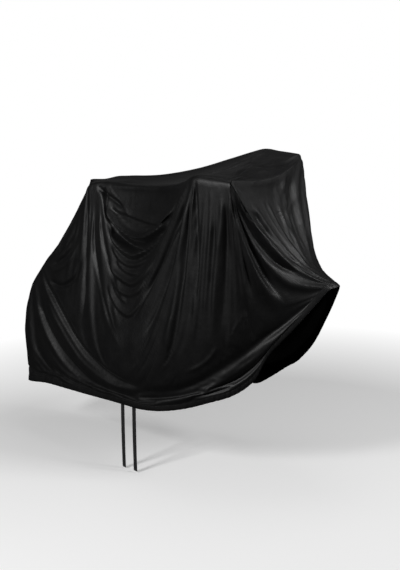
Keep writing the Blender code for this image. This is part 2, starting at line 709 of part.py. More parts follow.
def add_tie(name, x, near_side, material):
    """A flat tie, sewn behind the hem and hanging straight down from it."""
    half = TIE_WIDTH / 2
    hem = np.array([point_at(near_side[-1], x - half), point_at(near_side[-1], x + half)])
    above = np.array([point_at(near_side[-2], x - half), point_at(near_side[-2], x + half)])
    rise = (above - hem) / np.linalg.norm(above - hem, axis=1)[:, None]
    ahead = hem[1] - hem[0]
    inward = np.array([-ahead[1], ahead[0], 0.0]) / np.hypot(ahead[0], ahead[1])
    lean = 1 / np.sqrt(1 - (rise @ inward).max() ** 2)
    bulge = max(inward_bulge(near_side[-1], hem, inward), inward_bulge(near_side[-2], above, inward))
    seat = inward * ((CLOTH + SEAT_GAP + TIE_THICK / 2) * lean + bulge)
    rows = [hem + rise * TIE_SEWN + seat, hem + seat]
    level = hem.copy()
    level[:, 2] = hem[:, 2].mean()
    for i in range(1, TIE_ROWS + 1):
        share = i / TIE_ROWS
        rows.append(level + seat + (TIE_SWAY * share**2, 0.0, -TIE_DROP * share))
    points = np.concatenate(rows) - (0.0, 0.0, REST_HEIGHT)
    faces = [(2 * i, 2 * i + 2, 2 * i + 3, 2 * i + 1) for i in range(len(rows) - 1)]
    add_sheet(name, points, faces, material, TIE_THICK, 0.0)


def main():
    for old in list(bpy.data.objects):
        bpy.data.objects.remove(old)
    bpy.context.scene.collection.children.link(bpy.data.collections.new(COLLECTION))
    cloth = plain_material("coated_cloth", (0.012, 0.012, 0.013), 0.42)
    webbing = plain_material("webbing", (0.016, 0.016, 0.017), 0.60)
    points, faces, near_side = cover_surface()
    add_sheet("cover_body", points, faces, cloth, CLOTH, -1.0)
    for name, x in TIE_SPOTS.items():
        add_tie(name, x, near_side, webbing)


main()
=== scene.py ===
"""Looks of the weatherproof bicycle cover: its settled cloth, hem, ties, finishes, light and camera."""

import math
from collections import namedtuple

import bmesh
import bpy
import numpy as np
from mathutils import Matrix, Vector
from mathutils.bvhtree import BVHTree


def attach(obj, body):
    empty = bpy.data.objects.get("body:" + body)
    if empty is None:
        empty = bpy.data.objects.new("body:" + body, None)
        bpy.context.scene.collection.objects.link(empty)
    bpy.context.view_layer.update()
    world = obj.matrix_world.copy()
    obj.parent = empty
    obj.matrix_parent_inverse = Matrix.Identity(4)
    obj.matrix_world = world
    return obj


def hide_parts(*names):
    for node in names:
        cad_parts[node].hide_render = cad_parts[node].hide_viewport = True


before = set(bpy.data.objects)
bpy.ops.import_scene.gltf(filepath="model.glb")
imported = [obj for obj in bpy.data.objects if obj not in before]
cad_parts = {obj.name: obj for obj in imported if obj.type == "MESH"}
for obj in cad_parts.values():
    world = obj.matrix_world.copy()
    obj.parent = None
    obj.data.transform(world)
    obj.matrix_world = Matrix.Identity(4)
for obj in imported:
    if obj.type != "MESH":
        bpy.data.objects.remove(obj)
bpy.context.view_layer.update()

# ---------------- sizes, in metres
REST_HEIGHT = 1.040
TIE_WIDTH = 0.022
TIE_THICK = 0.0016
TIE_DROP = 0.279
TIE_SEWN = 0.018
TIE_SWAY = 0.004
TIE_SEAT = 0.0040
TIE_SPOTS = {"tie_rear": -0.427, "tie_front": -0.358}

# How far down its wall each rib's "high" and "low" points lie, from 0 at the crest to 1 at the hem.
HIGH_SHARE = 0.34
LOW_SHARE = 0.67
# The crest is rounded over this share of the roof above it and of the wall below it, in these rows.
ROOF_ROUNDING = 0.14
WALL_ROUNDING = 0.035
CREST_TURNS = (0.33, 0.67)

# Mesh steps for one of the ribs' columns, and rows from the spine to the crest and on to the hem.
FINER = 3
NEAR_ROWS = (6, 84)
FAR_ROWS = (5, 44)
# After it has settled, the cloth gets this many rows and columns for each of those.
NEAR_FINER = (2, 2)
FAR_FINER = (2, 1)

# A fold rises over the first share of its course and fades over the last one.
FOLD_LEAD = 0.16
FOLD_TAIL = 0.30
# Between two of its points a course is drawn in this many steps.
STEPS_A_SPAN = 10
# Ribs between which the side's folds give way to the front face's.
FRONT_STARTS = ("fender front", "front edge")
# The roof's folds give way to the wall's over this stretch of the way from the spine to the crest.
WALL_STARTS = (0.75, 1.00)
# The cloth is stretched smooth around the grips' ends.
GRIP_END = (0.105, 0.283, 1.030)
GRIP_CALM = 0.06
# A lip's steep side, as a share of its width. Its tuck and a pleat's valleys, as shares of its height.
LIP_SHARPNESS = 0.50
TUCK = 0.6
PLEAT_VALLEY = 0.5
# Members of a family stray from even spacing, depth and length by these shares.
UNEVEN_PLACE = 0.30
UNEVEN_DEPTH = 0.35
UNEVEN_LENGTH = 0.16
# How fast each kind of straying changes from member to member, and from family to family.
STRAY_RATES = {"place": (2.4, 1.7), "start": (4.1, 1.0), "end": (5.3, 1.0), "depth": (3.3, 0.9)}
# Farther off than this many widths, a fold is not felt. Softening widens the thinnest folds most.
FOLD_REACH = 4.0
SOFTENING = 0.004
# Folds die out over this height above the hem.
HEM_CALM = 0.05

Rib = namedtuple("Rib", "name columns crest high low hem")
Spine = namedtuple("Spine", "name x z")
Fold = namedtuple("Fold", "name kind start_width end_width depth course")
Family = namedtuple("Family", "name kind count start_width end_width depth first last")
Support = namedtuple("Support", "name x y z radius")
Light = namedtuple("Light", "name place size power")

# ---------------- settling, hem and seam
SETTLING_FRAMES = 25
# The cloth is cut this share too wide. That starts at the top's height and is whole a fall below it.
SPARE_WIDTH = 0.03
SPARE_TOP = -0.22
SPARE_FALL = 0.30
SPARE_CENTRE = -0.3
# How firmly the cloth is held, from 0 to 1: everywhere, and in the rows at its crest.
LOOSE_HOLD = 0.14
CREST_HOLD = 0.30
CREST_ROWS = 4
# The lowest rows are held more and more firmly, the last of them wholly.
HEM_HOLD = 1.20
HEM_ROWS = 5
# A support's hold fades to nothing at this many of its radii, over the last radius.
SUPPORT_REACH = 1.6
# Settings of a coated cloth, in the cloth simulation's own units.
CLOTH_SETTINGS = {
    "quality": 6,
    "mass": 0.15,
    "tension_stiffness": 20.0,
    "compression_stiffness": 20.0,
    "shear_stiffness": 8.0,
    "bending_stiffness": 0.06,
    "tension_damping": 5.0,
    "compression_damping": 5.0,
    "shear_damping": 5.0,
    "bending_damping": 0.5,
    "air_damping": 2.0,
    "pin_stiffness": 1.0,
}
# The turned hem's layer: how far inside the cloth each of its lines lies, and how far up.
HEM_PROFILE = [(0.0008, -0.0007), (0.0020, -0.0002), (0.0026, 0.0020), (0.0024, 0.0120), (0.0010, 0.0240)]
# Gathers: waves along the hem whose spacing drifts, crossed by a smaller second wave, and with a swell.
GATHER_PITCH = 0.024
GATHER_DEPTH = 0.0012
GATHER_REACH = 0.040
GATHER_DRIFT = 0.012
DRIFT_RATE = 9.0
SECOND_GATHER = 0.6
SECOND_RATE = 0.61
SECOND_START = 1.0
SWELL = 0.45
SWELL_RATE = 5.3
SWELL_START = 0.7
# Stitches: where each starts and ends within its pitch, and the thread's width there beside the middle.
STITCH_HEIGHT = 0.021
STITCH_PITCH = 0.0042
STITCH_ENDS = (0.12, 0.88)
STITCH_TAPER = 0.6
THREAD_RADIUS = 0.0004
THREAD_LIFT = 1.3 * THREAD_RADIUS
# A stitch is set down on the cloth from this far outside, away from the cover's middle.
STITCH_REACH = 0.02
COVER_MIDDLE = (-0.35, 0.0, 0.1 - REST_HEIGHT)
OUTWARD_SHARES = (0.2, 1.0, 0.0)
# The tie's rows: along its sewn length, and steps down its free one.
SEWN_ROWS = (1.0, 0.66, 0.33, 0.0)
TIE_STEPS = 20
# The tape's rounded section, its slight twist, and its end, drawn thicker where it is turned back once.
TAPE_CORNERS = 16
TAPE_WIDE_POWER = 0.35
TAPE_THICK_POWER = 0.6
TAPE_TWIST = 0.05
TAPE_TWIST_RATE = 5
TAPE_END_ROWS = 3
TAPE_END_THICKENING = 1.55

# ---------------- camera, floor and light
CAMERA_AZIMUTH = 33.0
CAMERA_ELEVATION = 13.0
CAMERA_TARGET = (-0.213, 0.0, -0.507)
CAMERA_DISTANCE = 5.0
CAMERA_LENS = 75.79
CAMERA_SENSOR = 36.0
CAMERA_FAR_END = 60.0
WHITE = (1.0, 1.0, 1.0, 1.0)
FLOOR_HEIGHT = -1.275
# The floor is pale up to this radius and turns into white at this share a metre.
FLOOR_PALE_RADIUS = 1.3
FLOOR_FADE = 0.9
FLOOR_GLOW = 0.3
BACKDROP_RADIUS = 14.0
BACKDROP_SHARE = 0.98
ROOM_LIGHT = 0.02
LIGHT_TARGET = (0.0, 0.0, -0.4)
LIGHTS = [
    Light("key", (-1.15, -4.1, 1.45), 0.9, 103.0),
    Light("front", (3.4, 0.5, 2.0), 1.2, 72.0),
    Light("top", (-0.3, 0.3, 3.0), 1.5, 10.0),
    Light("far", (2.6, 3.4, 1.2), 1.2, 5.0),
]

# ---------------- the line along the cover's top
SPINE = [
    Spine("rear centre", -0.780, 0.932),
    Spine("rear corner", -0.775, 0.934),
    Spine("rear wheel side", -0.765, 0.936),
    Spine("saddle rear", -0.740, 0.938),
    Spine("saddle", -0.680, 0.942),
    Spine("saddle nose", -0.610, 0.946),
    Spine("swag rear", -0.465, 0.957),
    Spine("swag middle", -0.310, 0.982),
    Spine("swag front", -0.180, 1.013),
    Spine("grip rear", -0.075, 1.040),
    Spine("grip", 0.010, 1.046),
    Spine("grip front", 0.070, 1.044),
    Spine("fork", 0.085, 1.042),
    Spine("fender rear", 0.095, 1.040),
    Spine("fender", 0.105, 1.038),
    Spine("fender front", 0.112, 1.036),
    Spine("front edge", 0.118, 1.034),
    Spine("front face", 0.122, 1.032),
    Spine("front centre", 0.125, 1.030),
]

# ---------------- ribs from the crest down to the hem
# columns: how many mesh columns lie between this rib and the next.
# The sides share both centre ribs.
REAR_CENTRE = Rib("rear centre", 2, (-0.812, 0.000, 0.805), (-1.012, 0.000, 0.572),
    (-1.157, 0.000, 0.330), (-1.090, 0.000, 0.000))
FRONT_CENTRE = Rib("front centre", 0, (0.128, 0.000, 1.018), (0.178, 0.010, 0.866),
    (0.290, 0.008, 0.710), (0.420, 0.014, 0.603))
NEAR_RIBS = [
    REAR_CENTRE,
    Rib("rear corner", 3, (-0.802, -0.045, 0.825), (-0.992, -0.045, 0.577),
        (-1.130, -0.055, 0.320), (-1.080, -0.100, 0.000)),
    Rib("rear wheel side", 4, (-0.772, -0.065, 0.868), (-0.905, -0.085, 0.590),
        (-0.985, -0.120, 0.300), (-0.935, -0.150, 0.022)),
    Rib("saddle rear", 4, (-0.740, -0.080, 0.915), (-0.790, -0.110, 0.610),
        (-0.810, -0.165, 0.300), (-0.785, -0.185, 0.030)),
    Rib("saddle", 4, (-0.690, -0.082, 0.936), (-0.670, -0.130, 0.620),
        (-0.660, -0.205, 0.310), (-0.650, -0.215, 0.036)),
    Rib("saddle nose", 5, (-0.634, -0.082, 0.942), (-0.575, -0.150, 0.640),
        (-0.530, -0.250, 0.320), (-0.525, -0.245, 0.044)),
    Rib("swag rear", 5, (-0.463, -0.100, 0.950), (-0.440, -0.180, 0.650),
        (-0.415, -0.280, 0.330), (-0.410, -0.272, 0.050)),
    Rib("swag middle", 5, (-0.304, -0.155, 0.967), (-0.300, -0.225, 0.670),
        (-0.300, -0.305, 0.340), (-0.310, -0.290, 0.053)),
    Rib("swag front", 4, (-0.160, -0.230, 0.995), (-0.185, -0.265, 0.700),
        (-0.200, -0.315, 0.370), (-0.200, -0.290, 0.067)),
    Rib("grip rear", 4, (-0.064, -0.285, 1.036), (-0.085, -0.292, 0.720),
        (-0.100, -0.310, 0.400), (-0.100, -0.280, 0.093)),
    Rib("grip", 4, (0.020, -0.290, 1.036), (0.015, -0.295, 0.740),
        (0.010, -0.298, 0.430), (0.000, -0.260, 0.130)),
    Rib("grip front", 4, (0.098, -0.290, 1.030), (0.110, -0.275, 0.760),
        (0.112, -0.262, 0.470), (0.095, -0.230, 0.170)),
    Rib("fork", 4, (0.103, -0.288, 1.029), (0.142, -0.245, 0.790),
        (0.178, -0.218, 0.520), (0.168, -0.195, 0.235)),
    Rib("fender rear", 3, (0.105, -0.286, 1.028), (0.155, -0.222, 0.815),
        (0.220, -0.170, 0.600), (0.220, -0.165, 0.345)),
    Rib("fender", 2, (0.106, -0.284, 1.028), (0.160, -0.208, 0.838),
        (0.252, -0.128, 0.660), (0.300, -0.118, 0.447)),
    Rib("fender front", 2, (0.107, -0.282, 1.027), (0.162, -0.198, 0.856),
        (0.268, -0.098, 0.696), (0.356, -0.080, 0.525)),
    Rib("front edge", 2, (0.109, -0.278, 1.026), (0.163, -0.188, 0.870),
        (0.276, -0.082, 0.712), (0.400, -0.032, 0.592)),
    Rib("front face", 2, (0.122, -0.140, 1.014), (0.172, -0.090, 0.870),
        (0.286, -0.040, 0.714), (0.414, -0.004, 0.600)),
    FRONT_CENTRE,
]

FAR_RIBS = [
    REAR_CENTRE,
    Rib("rear corner", 2, (-0.804, 0.040, 0.822), (-0.990, 0.045, 0.580),
        (-1.130, 0.058, 0.320), (-1.075, 0.110, 0.000)),
    Rib("rear wheel side", 3, (-0.786, 0.055, 0.864), (-0.905, 0.090, 0.590),
        (-0.985, 0.130, 0.300), (-0.950, 0.160, 0.015)),
    Rib("saddle rear", 3, (-0.750, 0.065, 0.915), (-0.800, 0.115, 0.610),
        (-0.820, 0.170, 0.300), (-0.800, 0.200, 0.025)),
    Rib("saddle", 3, (-0.690, 0.068, 0.947), (-0.680, 0.130, 0.630),
        (-0.670, 0.205, 0.320), (-0.660, 0.232, 0.030)),
    Rib("saddle nose", 4, (-0.610, 0.070, 0.958), (-0.570, 0.150, 0.650),
        (-0.540, 0.238, 0.330), (-0.540, 0.262, 0.035)),
    Rib("swag rear", 4, (-0.468, 0.110, 0.971), (-0.440, 0.180, 0.680),
        (-0.420, 0.262, 0.350), (-0.420, 0.280, 0.040)),
    Rib("swag middle", 4, (-0.320, 0.172, 1.005), (-0.310, 0.222, 0.700),
        (-0.310, 0.282, 0.360), (-0.310, 0.288, 0.045)),
    Rib("swag front", 3, (-0.185, 0.235, 1.053), (-0.200, 0.262, 0.730),
        (-0.210, 0.287, 0.370), (-0.210, 0.275, 0.050)),
    Rib("grip rear", 3, (-0.070, 0.280, 1.091), (-0.090, 0.290, 0.760),
        (-0.100, 0.277, 0.390), (-0.120, 0.248, 0.060)),
    Rib("grip", 3, (0.010, 0.285, 1.086), (0.010, 0.292, 0.780),
        (0.000, 0.266, 0.410), (-0.050, 0.212, 0.078)),
    Rib("grip front", 3, (0.090, 0.285, 1.080), (0.110, 0.280, 0.790),
        (0.100, 0.240, 0.430), (0.030, 0.190, 0.130)),
    Rib("fork", 3, (0.098, 0.284, 1.077), (0.130, 0.262, 0.800),
        (0.155, 0.215, 0.480), (0.105, 0.175, 0.185)),
    Rib("fender rear", 2, (0.101, 0.283, 1.068), (0.142, 0.258, 0.808),
        (0.195, 0.188, 0.560), (0.185, 0.155, 0.243)),
    Rib("fender", 2, (0.104, 0.282, 1.064), (0.150, 0.252, 0.820),
        (0.226, 0.165, 0.620), (0.262, 0.125, 0.332)),
    Rib("fender front", 2, (0.106, 0.280, 1.060), (0.155, 0.245, 0.834),
        (0.248, 0.142, 0.668), (0.335, 0.088, 0.452)),
    Rib("front edge", 2, (0.110, 0.272, 1.054), (0.160, 0.232, 0.850),
        (0.262, 0.122, 0.694), (0.393, 0.056, 0.560)),
    Rib("front face", 3, (0.124, 0.150, 1.035), (0.174, 0.115, 0.866),
        (0.282, 0.062, 0.706), (0.414, 0.032, 0.596)),
    FRONT_CENTRE,
]

# ---------------- folds, as (x, z) courses on the two sides
# A lip falls off steeply on the right-hand side of its course, where the cloth is tucked in under it.
# A pleat is a ridge with a shallow valley on each side.
NEAR_FOLDS = [
    Fold("panel lip", "lip", 0.016, 0.014, 0.010,
         ((-0.62, 0.86), (-0.51, 0.82), (-0.40, 0.81), (-0.29, 0.81), (-0.21, 0.85), (-0.13, 0.97))),
    Fold("second swag", "lip", 0.017, 0.020, 0.028,
         ((-0.63, 0.89), (-0.60, 0.82), (-0.53, 0.77), (-0.41, 0.74), (-0.33, 0.76), (-0.24, 0.82),
          (-0.16, 0.94))),
    Fold("third swag", "lip", 0.016, 0.018, 0.018,
         ((-0.59, 0.78), (-0.56, 0.72), (-0.49, 0.68), (-0.42, 0.67), (-0.34, 0.71), (-0.23, 0.80))),
    Fold("saddle rear valley", "trough", 0.008, 0.011, 0.010,
         ((-0.74, 0.87), (-0.73, 0.73), (-0.72, 0.60), (-0.71, 0.46), (-0.72, 0.32))),
    Fold("first flute", "ridge", 0.013, 0.027, 0.005,
         ((-0.71, 0.89), (-0.71, 0.76), (-0.71, 0.63), (-0.67, 0.46), (-0.61, 0.26))),
    Fold("first flute valley", "trough", 0.007, 0.011, 0.009,
         ((-0.69, 0.82), (-0.67, 0.66), (-0.62, 0.54), (-0.55, 0.44), (-0.45, 0.33))),
    Fold("second flute", "ridge", 0.011, 0.024, 0.002,
         ((-0.68, 0.87), (-0.65, 0.72), (-0.60, 0.60), (-0.54, 0.50), (-0.46, 0.40), (-0.38, 0.30))),
    Fold("second flute valley", "trough", 0.008, 0.012, 0.007,
         ((-0.66, 0.82), (-0.62, 0.71), (-0.57, 0.62), (-0.51, 0.54), (-0.43, 0.45))),
    Fold("low flute", "ridge", 0.014, 0.016, 0.003,
         ((-0.61, 0.52), (-0.55, 0.42), (-0.48, 0.35), (-0.40, 0.28))),
    Fold("grip rear ridge", "ridge", 0.012, 0.026, 0.022,
         ((-0.09, 1.02), (-0.14, 0.92), (-0.20, 0.80), (-0.27, 0.68), (-0.34, 0.55), (-0.39, 0.44))),
    Fold("grip rear valley", "trough", 0.007, 0.012, 0.012,
         ((-0.10, 0.96), (-0.13, 0.86), (-0.19, 0.74), (-0.26, 0.62), (-0.32, 0.51), (-0.38, 0.42))),
    Fold("long flute", "ridge", 0.010, 0.016, 0.011,
         ((-0.12, 0.88), (-0.17, 0.76), (-0.23, 0.64), (-0.30, 0.52), (-0.36, 0.36))),
    Fold("dark valley", "trough", 0.010, 0.024, 0.016,
         ((-0.11, 0.85), (-0.15, 0.71), (-0.20, 0.59), (-0.25, 0.47), (-0.32, 0.33))),
    Fold("grip ridge", "ridge", 0.013, 0.028, 0.016,
         ((-0.08, 1.00), (-0.10, 0.86), (-0.11, 0.70), (-0.14, 0.52), (-0.16, 0.34), (-0.16, 0.24))),
    Fold("grip ridge valley", "trough", 0.007, 0.012, 0.010,
         ((-0.08, 0.95), (-0.08, 0.82), (-0.09, 0.68), (-0.10, 0.54))),
    Fold("straight ridge", "ridge", 0.007, 0.012, 0.009,
         ((-0.06, 1.03), (-0.06, 0.86), (-0.05, 0.68), (-0.04, 0.50), (-0.04, 0.30))),
    Fold("wedge", "trough", 0.006, 0.010, 0.010,
         ((-0.05, 1.03), (-0.04, 0.90), (-0.03, 0.72), (-0.03, 0.52))),
    Fold("middle ridge", "ridge", 0.010, 0.014, 0.007,
         ((0.03, 0.90), (0.02, 0.76), (0.01, 0.60), (0.00, 0.42))),
    Fold("middle valley", "trough", 0.009, 0.011, 0.005, ((0.04, 0.88), (0.04, 0.74), (0.02, 0.56))),
    Fold("bar ridge", "ridge", 0.011, 0.015, 0.010,
         ((0.07, 1.00), (0.07, 0.86), (0.05, 0.72), (0.04, 0.56), (0.03, 0.38))),
    Fold("bar valley", "trough", 0.011, 0.020, 0.008,
         ((0.09, 0.96), (0.09, 0.80), (0.08, 0.64), (0.07, 0.50), (0.05, 0.38))),
    Fold("kinked ridge", "ridge", 0.010, 0.014, 0.012,
         ((0.11, 1.00), (0.11, 0.86), (0.13, 0.73), (0.15, 0.60), (0.17, 0.51))),
    Fold("kink foot", "ridge", 0.010, 0.014, 0.006,
         ((0.17, 0.53), (0.13, 0.48), (0.10, 0.42), (0.08, 0.35))),
    Fold("fan ridge", "ridge", 0.013, 0.020, 0.014,
         ((0.11, 0.98), (0.13, 0.84), (0.17, 0.71), (0.21, 0.60), (0.25, 0.51))),
    Fold("fan rear valley", "trough", 0.009, 0.014, 0.008,
         ((0.11, 0.92), (0.13, 0.79), (0.16, 0.66), (0.19, 0.57))),
    Fold("great valley", "trough", 0.008, 0.012, 0.018,
         ((0.11, 1.00), (0.13, 0.92), (0.16, 0.83), (0.20, 0.75), (0.26, 0.69), (0.35, 0.65))),
    Fold("fan valley", "trough", 0.008, 0.013, 0.013,
         ((0.11, 0.97), (0.14, 0.84), (0.18, 0.73), (0.22, 0.64), (0.28, 0.55))),
    Fold("sweep valley", "trough", 0.011, 0.015, 0.021,
         ((-1.06, 0.51), (-0.94, 0.43), (-0.82, 0.33), (-0.70, 0.24), (-0.52, 0.175), (-0.34, 0.155),
          (-0.16, 0.17))),
    Fold("sweep ridge", "lip", 0.022, 0.014, 0.006,
         ((-0.34, 0.12), (-0.52, 0.14), (-0.69, 0.185), (-0.81, 0.265), (-0.93, 0.365), (-1.06, 0.47))),
    Fold("second sweep valley", "trough", 0.011, 0.014, 0.012,
         ((-1.06, 0.39), (-0.96, 0.30), (-0.83, 0.20), (-0.70, 0.14), (-0.55, 0.105))),
    Fold("second sweep ridge", "lip", 0.020, 0.014, 0.004,
         ((-0.50, 0.08), (-0.68, 0.10), (-0.82, 0.155), (-0.95, 0.255), (-1.07, 0.37))),
    Fold("third sweep ridge", "lip", 0.016, 0.012, 0.003,
         ((-0.72, 0.05), (-0.88, 0.09), (-0.98, 0.155), (-1.06, 0.24))),
    Fold("fourth sweep ridge", "ridge", 0.006, 0.008, 0.003,
         ((-1.05, 0.17), (-0.98, 0.12), (-0.88, 0.07))),
    Fold("inner sweep ridge", "ridge", 0.011, 0.014, 0.003,
         ((-1.01, 0.50), (-0.93, 0.43), (-0.83, 0.35), (-0.75, 0.29), (-0.67, 0.26))),
    Fold("hem valley", "trough", 0.014, 0.015, 0.017,
         ((-0.40, 0.13), (-0.22, 0.15), (-0.08, 0.195), (0.05, 0.28), (0.17, 0.38), (0.28, 0.50),
          (0.37, 0.62))),
    Fold("hem roll", "lip", 0.018, 0.022, 0.003,
         ((0.40, 0.61), (0.30, 0.475), (0.18, 0.345), (0.05, 0.24), (-0.05, 0.165), (-0.16, 0.125),
          (-0.28, 0.105), (-0.42, 0.10))),
]
# Families of like folds, spread evenly from the first course to the last one.
NEAR_FAMILIES = [
    Family("belly flutes", "ridge", 6, 0.022, 0.024, 0.003,
           ((-0.50, 0.52), (-0.46, 0.34), (-0.40, 0.22)),
           ((0.04, 0.52), (0.00, 0.35), (-0.06, 0.24))),
]
# Finer creases, pressed in once the cloth has settled.
NEAR_CREASES = [
    Fold("roof edge", "lip", 0.013, 0.013, 0.010,
         ((-0.10, 1.000), (-0.28, 0.962), (-0.46, 0.943), (-0.66, 0.934))),
    Fold("swag line", "trough", 0.006, 0.007, 0.012,
         ((-0.61, 0.84), (-0.51, 0.82), (-0.41, 0.808), (-0.33, 0.806), (-0.26, 0.818), (-0.20, 0.855),
          (-0.16, 0.92), (-0.12, 1.00))),
    Fold("second swag valley", "trough", 0.013, 0.012, 0.026,
         ((-0.60, 0.79), (-0.53, 0.74), (-0.44, 0.712), (-0.36, 0.717), (-0.26, 0.78))),
    Fold("saddle hole", "trough", 0.009, 0.008, 0.022,
         ((-0.65, 0.92), (-0.63, 0.87), (-0.61, 0.81), (-0.58, 0.77))),
    Fold("saddle corner crease", "trough", 0.006, 0.009, 0.011,
         ((-0.69, 0.93), (-0.64, 0.90), (-0.59, 0.88), (-0.50, 0.84))),
    Fold("wedge line", "trough", 0.005, 0.007, 0.006, ((-0.05, 1.02), (-0.04, 0.90), (-0.03, 0.65))),
    Fold("fan valley", "trough", 0.006, 0.008, 0.009,
         ((0.11, 0.98), (0.14, 0.84), (0.18, 0.72), (0.23, 0.61), (0.28, 0.53))),
    Fold("great ridge", "ridge", 0.006, 0.007, 0.005,
         ((0.11, 0.98), (0.14, 0.87), (0.18, 0.77), (0.24, 0.69))),
    Fold("front edge ridge", "ridge", 0.006, 0.007, 0.009,
         ((0.11, 1.02), (0.15, 0.90), (0.21, 0.78), (0.28, 0.69), (0.36, 0.64))),
    Fold("fourth swag", "lip", 0.013, 0.013, 0.008,
         ((-0.57, 0.70), (-0.53, 0.66), (-0.46, 0.63), (-0.39, 0.64), (-0.31, 0.69))),
    Fold("fifth swag", "lip", 0.011, 0.011, 0.006,
         ((-0.53, 0.64), (-0.48, 0.61), (-0.43, 0.60), (-0.36, 0.61))),
    Fold("sixth swag", "lip", 0.014, 0.015, 0.011,
         ((-0.58, 0.64), (-0.54, 0.595), (-0.48, 0.57), (-0.41, 0.56), (-0.33, 0.60), (-0.26, 0.69))),
    Fold("seventh swag", "lip", 0.012, 0.013, 0.007,
         ((-0.55, 0.565), (-0.50, 0.53), (-0.44, 0.515), (-0.37, 0.53), (-0.30, 0.59))),
    Fold("eighth swag", "lip", 0.011, 0.011, 0.005, ((-0.53, 0.54), (-0.48, 0.50), (-0.42, 0.485))),
    Fold("ninth swag", "lip", 0.014, 0.014, 0.008,
         ((-0.56, 0.54), (-0.52, 0.49), (-0.46, 0.45), (-0.40, 0.44), (-0.34, 0.49), (-0.28, 0.59))),
    Fold("rear swag", "trough", 0.008, 0.008, 0.011,
         ((-0.96, 0.55), (-0.90, 0.58), (-0.83, 0.64), (-0.78, 0.72))),
    Fold("rear swag ridge", "ridge", 0.010, 0.009, 0.006,
         ((-0.96, 0.52), (-0.90, 0.545), (-0.83, 0.59), (-0.77, 0.70))),
    Fold("second rear swag", "trough", 0.009, 0.009, 0.011,
         ((-0.97, 0.48), (-0.87, 0.475), (-0.79, 0.52), (-0.74, 0.63))),
    Fold("high rear crease", "trough", 0.006, 0.006, 0.005,
         ((-0.92, 0.60), (-0.85, 0.67), (-0.79, 0.77))),
    Fold("fourth sweep valley", "trough", 0.006, 0.007, 0.005,
         ((-1.03, 0.10), (-0.97, 0.07), (-0.88, 0.05))),
    Fold("belly foot", "ridge", 0.007, 0.007, 0.004,
         ((0.05, 0.38), (0.02, 0.33), (-0.04, 0.28), (-0.10, 0.25))),
]

FAR_FOLDS = [
    Fold("first swag", "lip", 0.022, 0.034, 0.016,
         ((-0.61, 0.91), (-0.52, 0.84), (-0.40, 0.81), (-0.27, 0.84), (-0.16, 0.95))),
    Fold("second swag", "lip", 0.022, 0.034, 0.018,
         ((-0.62, 0.84), (-0.53, 0.73), (-0.41, 0.69), (-0.29, 0.73), (-0.17, 0.88))),
    Fold("third swag", "lip", 0.020, 0.032, 0.015,
         ((-0.61, 0.73), (-0.52, 0.61), (-0.42, 0.57), (-0.30, 0.62), (-0.21, 0.75))),
    Fold("saddle valley", "trough", 0.014, 0.034, 0.024,
         ((-0.70, 0.91), (-0.71, 0.70), (-0.70, 0.50), (-0.66, 0.32))),
    Fold("grip rear ridge", "ridge", 0.014, 0.042, 0.026,
         ((-0.08, 1.07), (-0.12, 0.88), (-0.19, 0.68), (-0.27, 0.48), (-0.31, 0.32))),
    Fold("grip rear valley", "trough", 0.012, 0.034, 0.022,
         ((-0.05, 1.06), (-0.05, 0.85), (-0.06, 0.64), (-0.08, 0.42))),
    Fold("grip front valley", "trough", 0.012, 0.034, 0.024,
         ((0.08, 1.05), (0.07, 0.85), (0.08, 0.65), (0.07, 0.44))),
    Fold("fan valley", "trough", 0.014, 0.040, 0.028,
         ((0.11, 0.98), (0.16, 0.80), (0.22, 0.66), (0.31, 0.57))),
    Fold("hem roll", "ridge", 0.032, 0.030, 0.026,
         ((-0.44, 0.11), (-0.24, 0.12), (-0.06, 0.16), (0.08, 0.22), (0.20, 0.34), (0.30, 0.48),
          (0.37, 0.58))),
]
FAR_FAMILIES = [
    Family("saddle flutes", "pleat", 4, 0.010, 0.024, 0.012,
           ((-0.72, 0.88), (-0.72, 0.70), (-0.71, 0.50), (-0.68, 0.30)),
           ((-0.67, 0.88), (-0.62, 0.70), (-0.54, 0.54), (-0.44, 0.38))),
    Family("grip flutes", "pleat", 5, 0.010, 0.026, 0.012,
           ((-0.08, 1.05), (-0.14, 0.86), (-0.23, 0.66), (-0.33, 0.46)),
           ((0.09, 1.04), (0.09, 0.84), (0.09, 0.62), (0.06, 0.36))),
    Family("sweeps", "pleat", 5, 0.014, 0.024, 0.016,
           ((-1.08, 0.50), (-0.97, 0.39), (-0.80, 0.27), (-0.58, 0.20), (-0.36, 0.18)),
           ((-1.06, 0.20), (-1.00, 0.15), (-0.92, 0.11), (-0.82, 0.08), (-0.70, 0.06))),
    Family("rear swags", "lip", 3, 0.014, 0.020, 0.010,
           ((-1.02, 0.54), (-0.91, 0.56), (-0.82, 0.64), (-0.77, 0.78)),
           ((-1.00, 0.47), (-0.90, 0.45), (-0.81, 0.51), (-0.75, 0.64))),
]
# Families of finer creases.
NEAR_CREASE_FAMILIES = [
    Family("hem lines", "pleat", 3, 0.006, 0.007, 0.002,
           ((0.37, 0.59), (0.27, 0.46), (0.14, 0.33), (0.02, 0.235), (-0.12, 0.165), (-0.30, 0.125)),
           ((0.37, 0.555), (0.28, 0.42), (0.15, 0.29), (0.03, 0.195), (-0.11, 0.12), (-0.30, 0.08))),
]

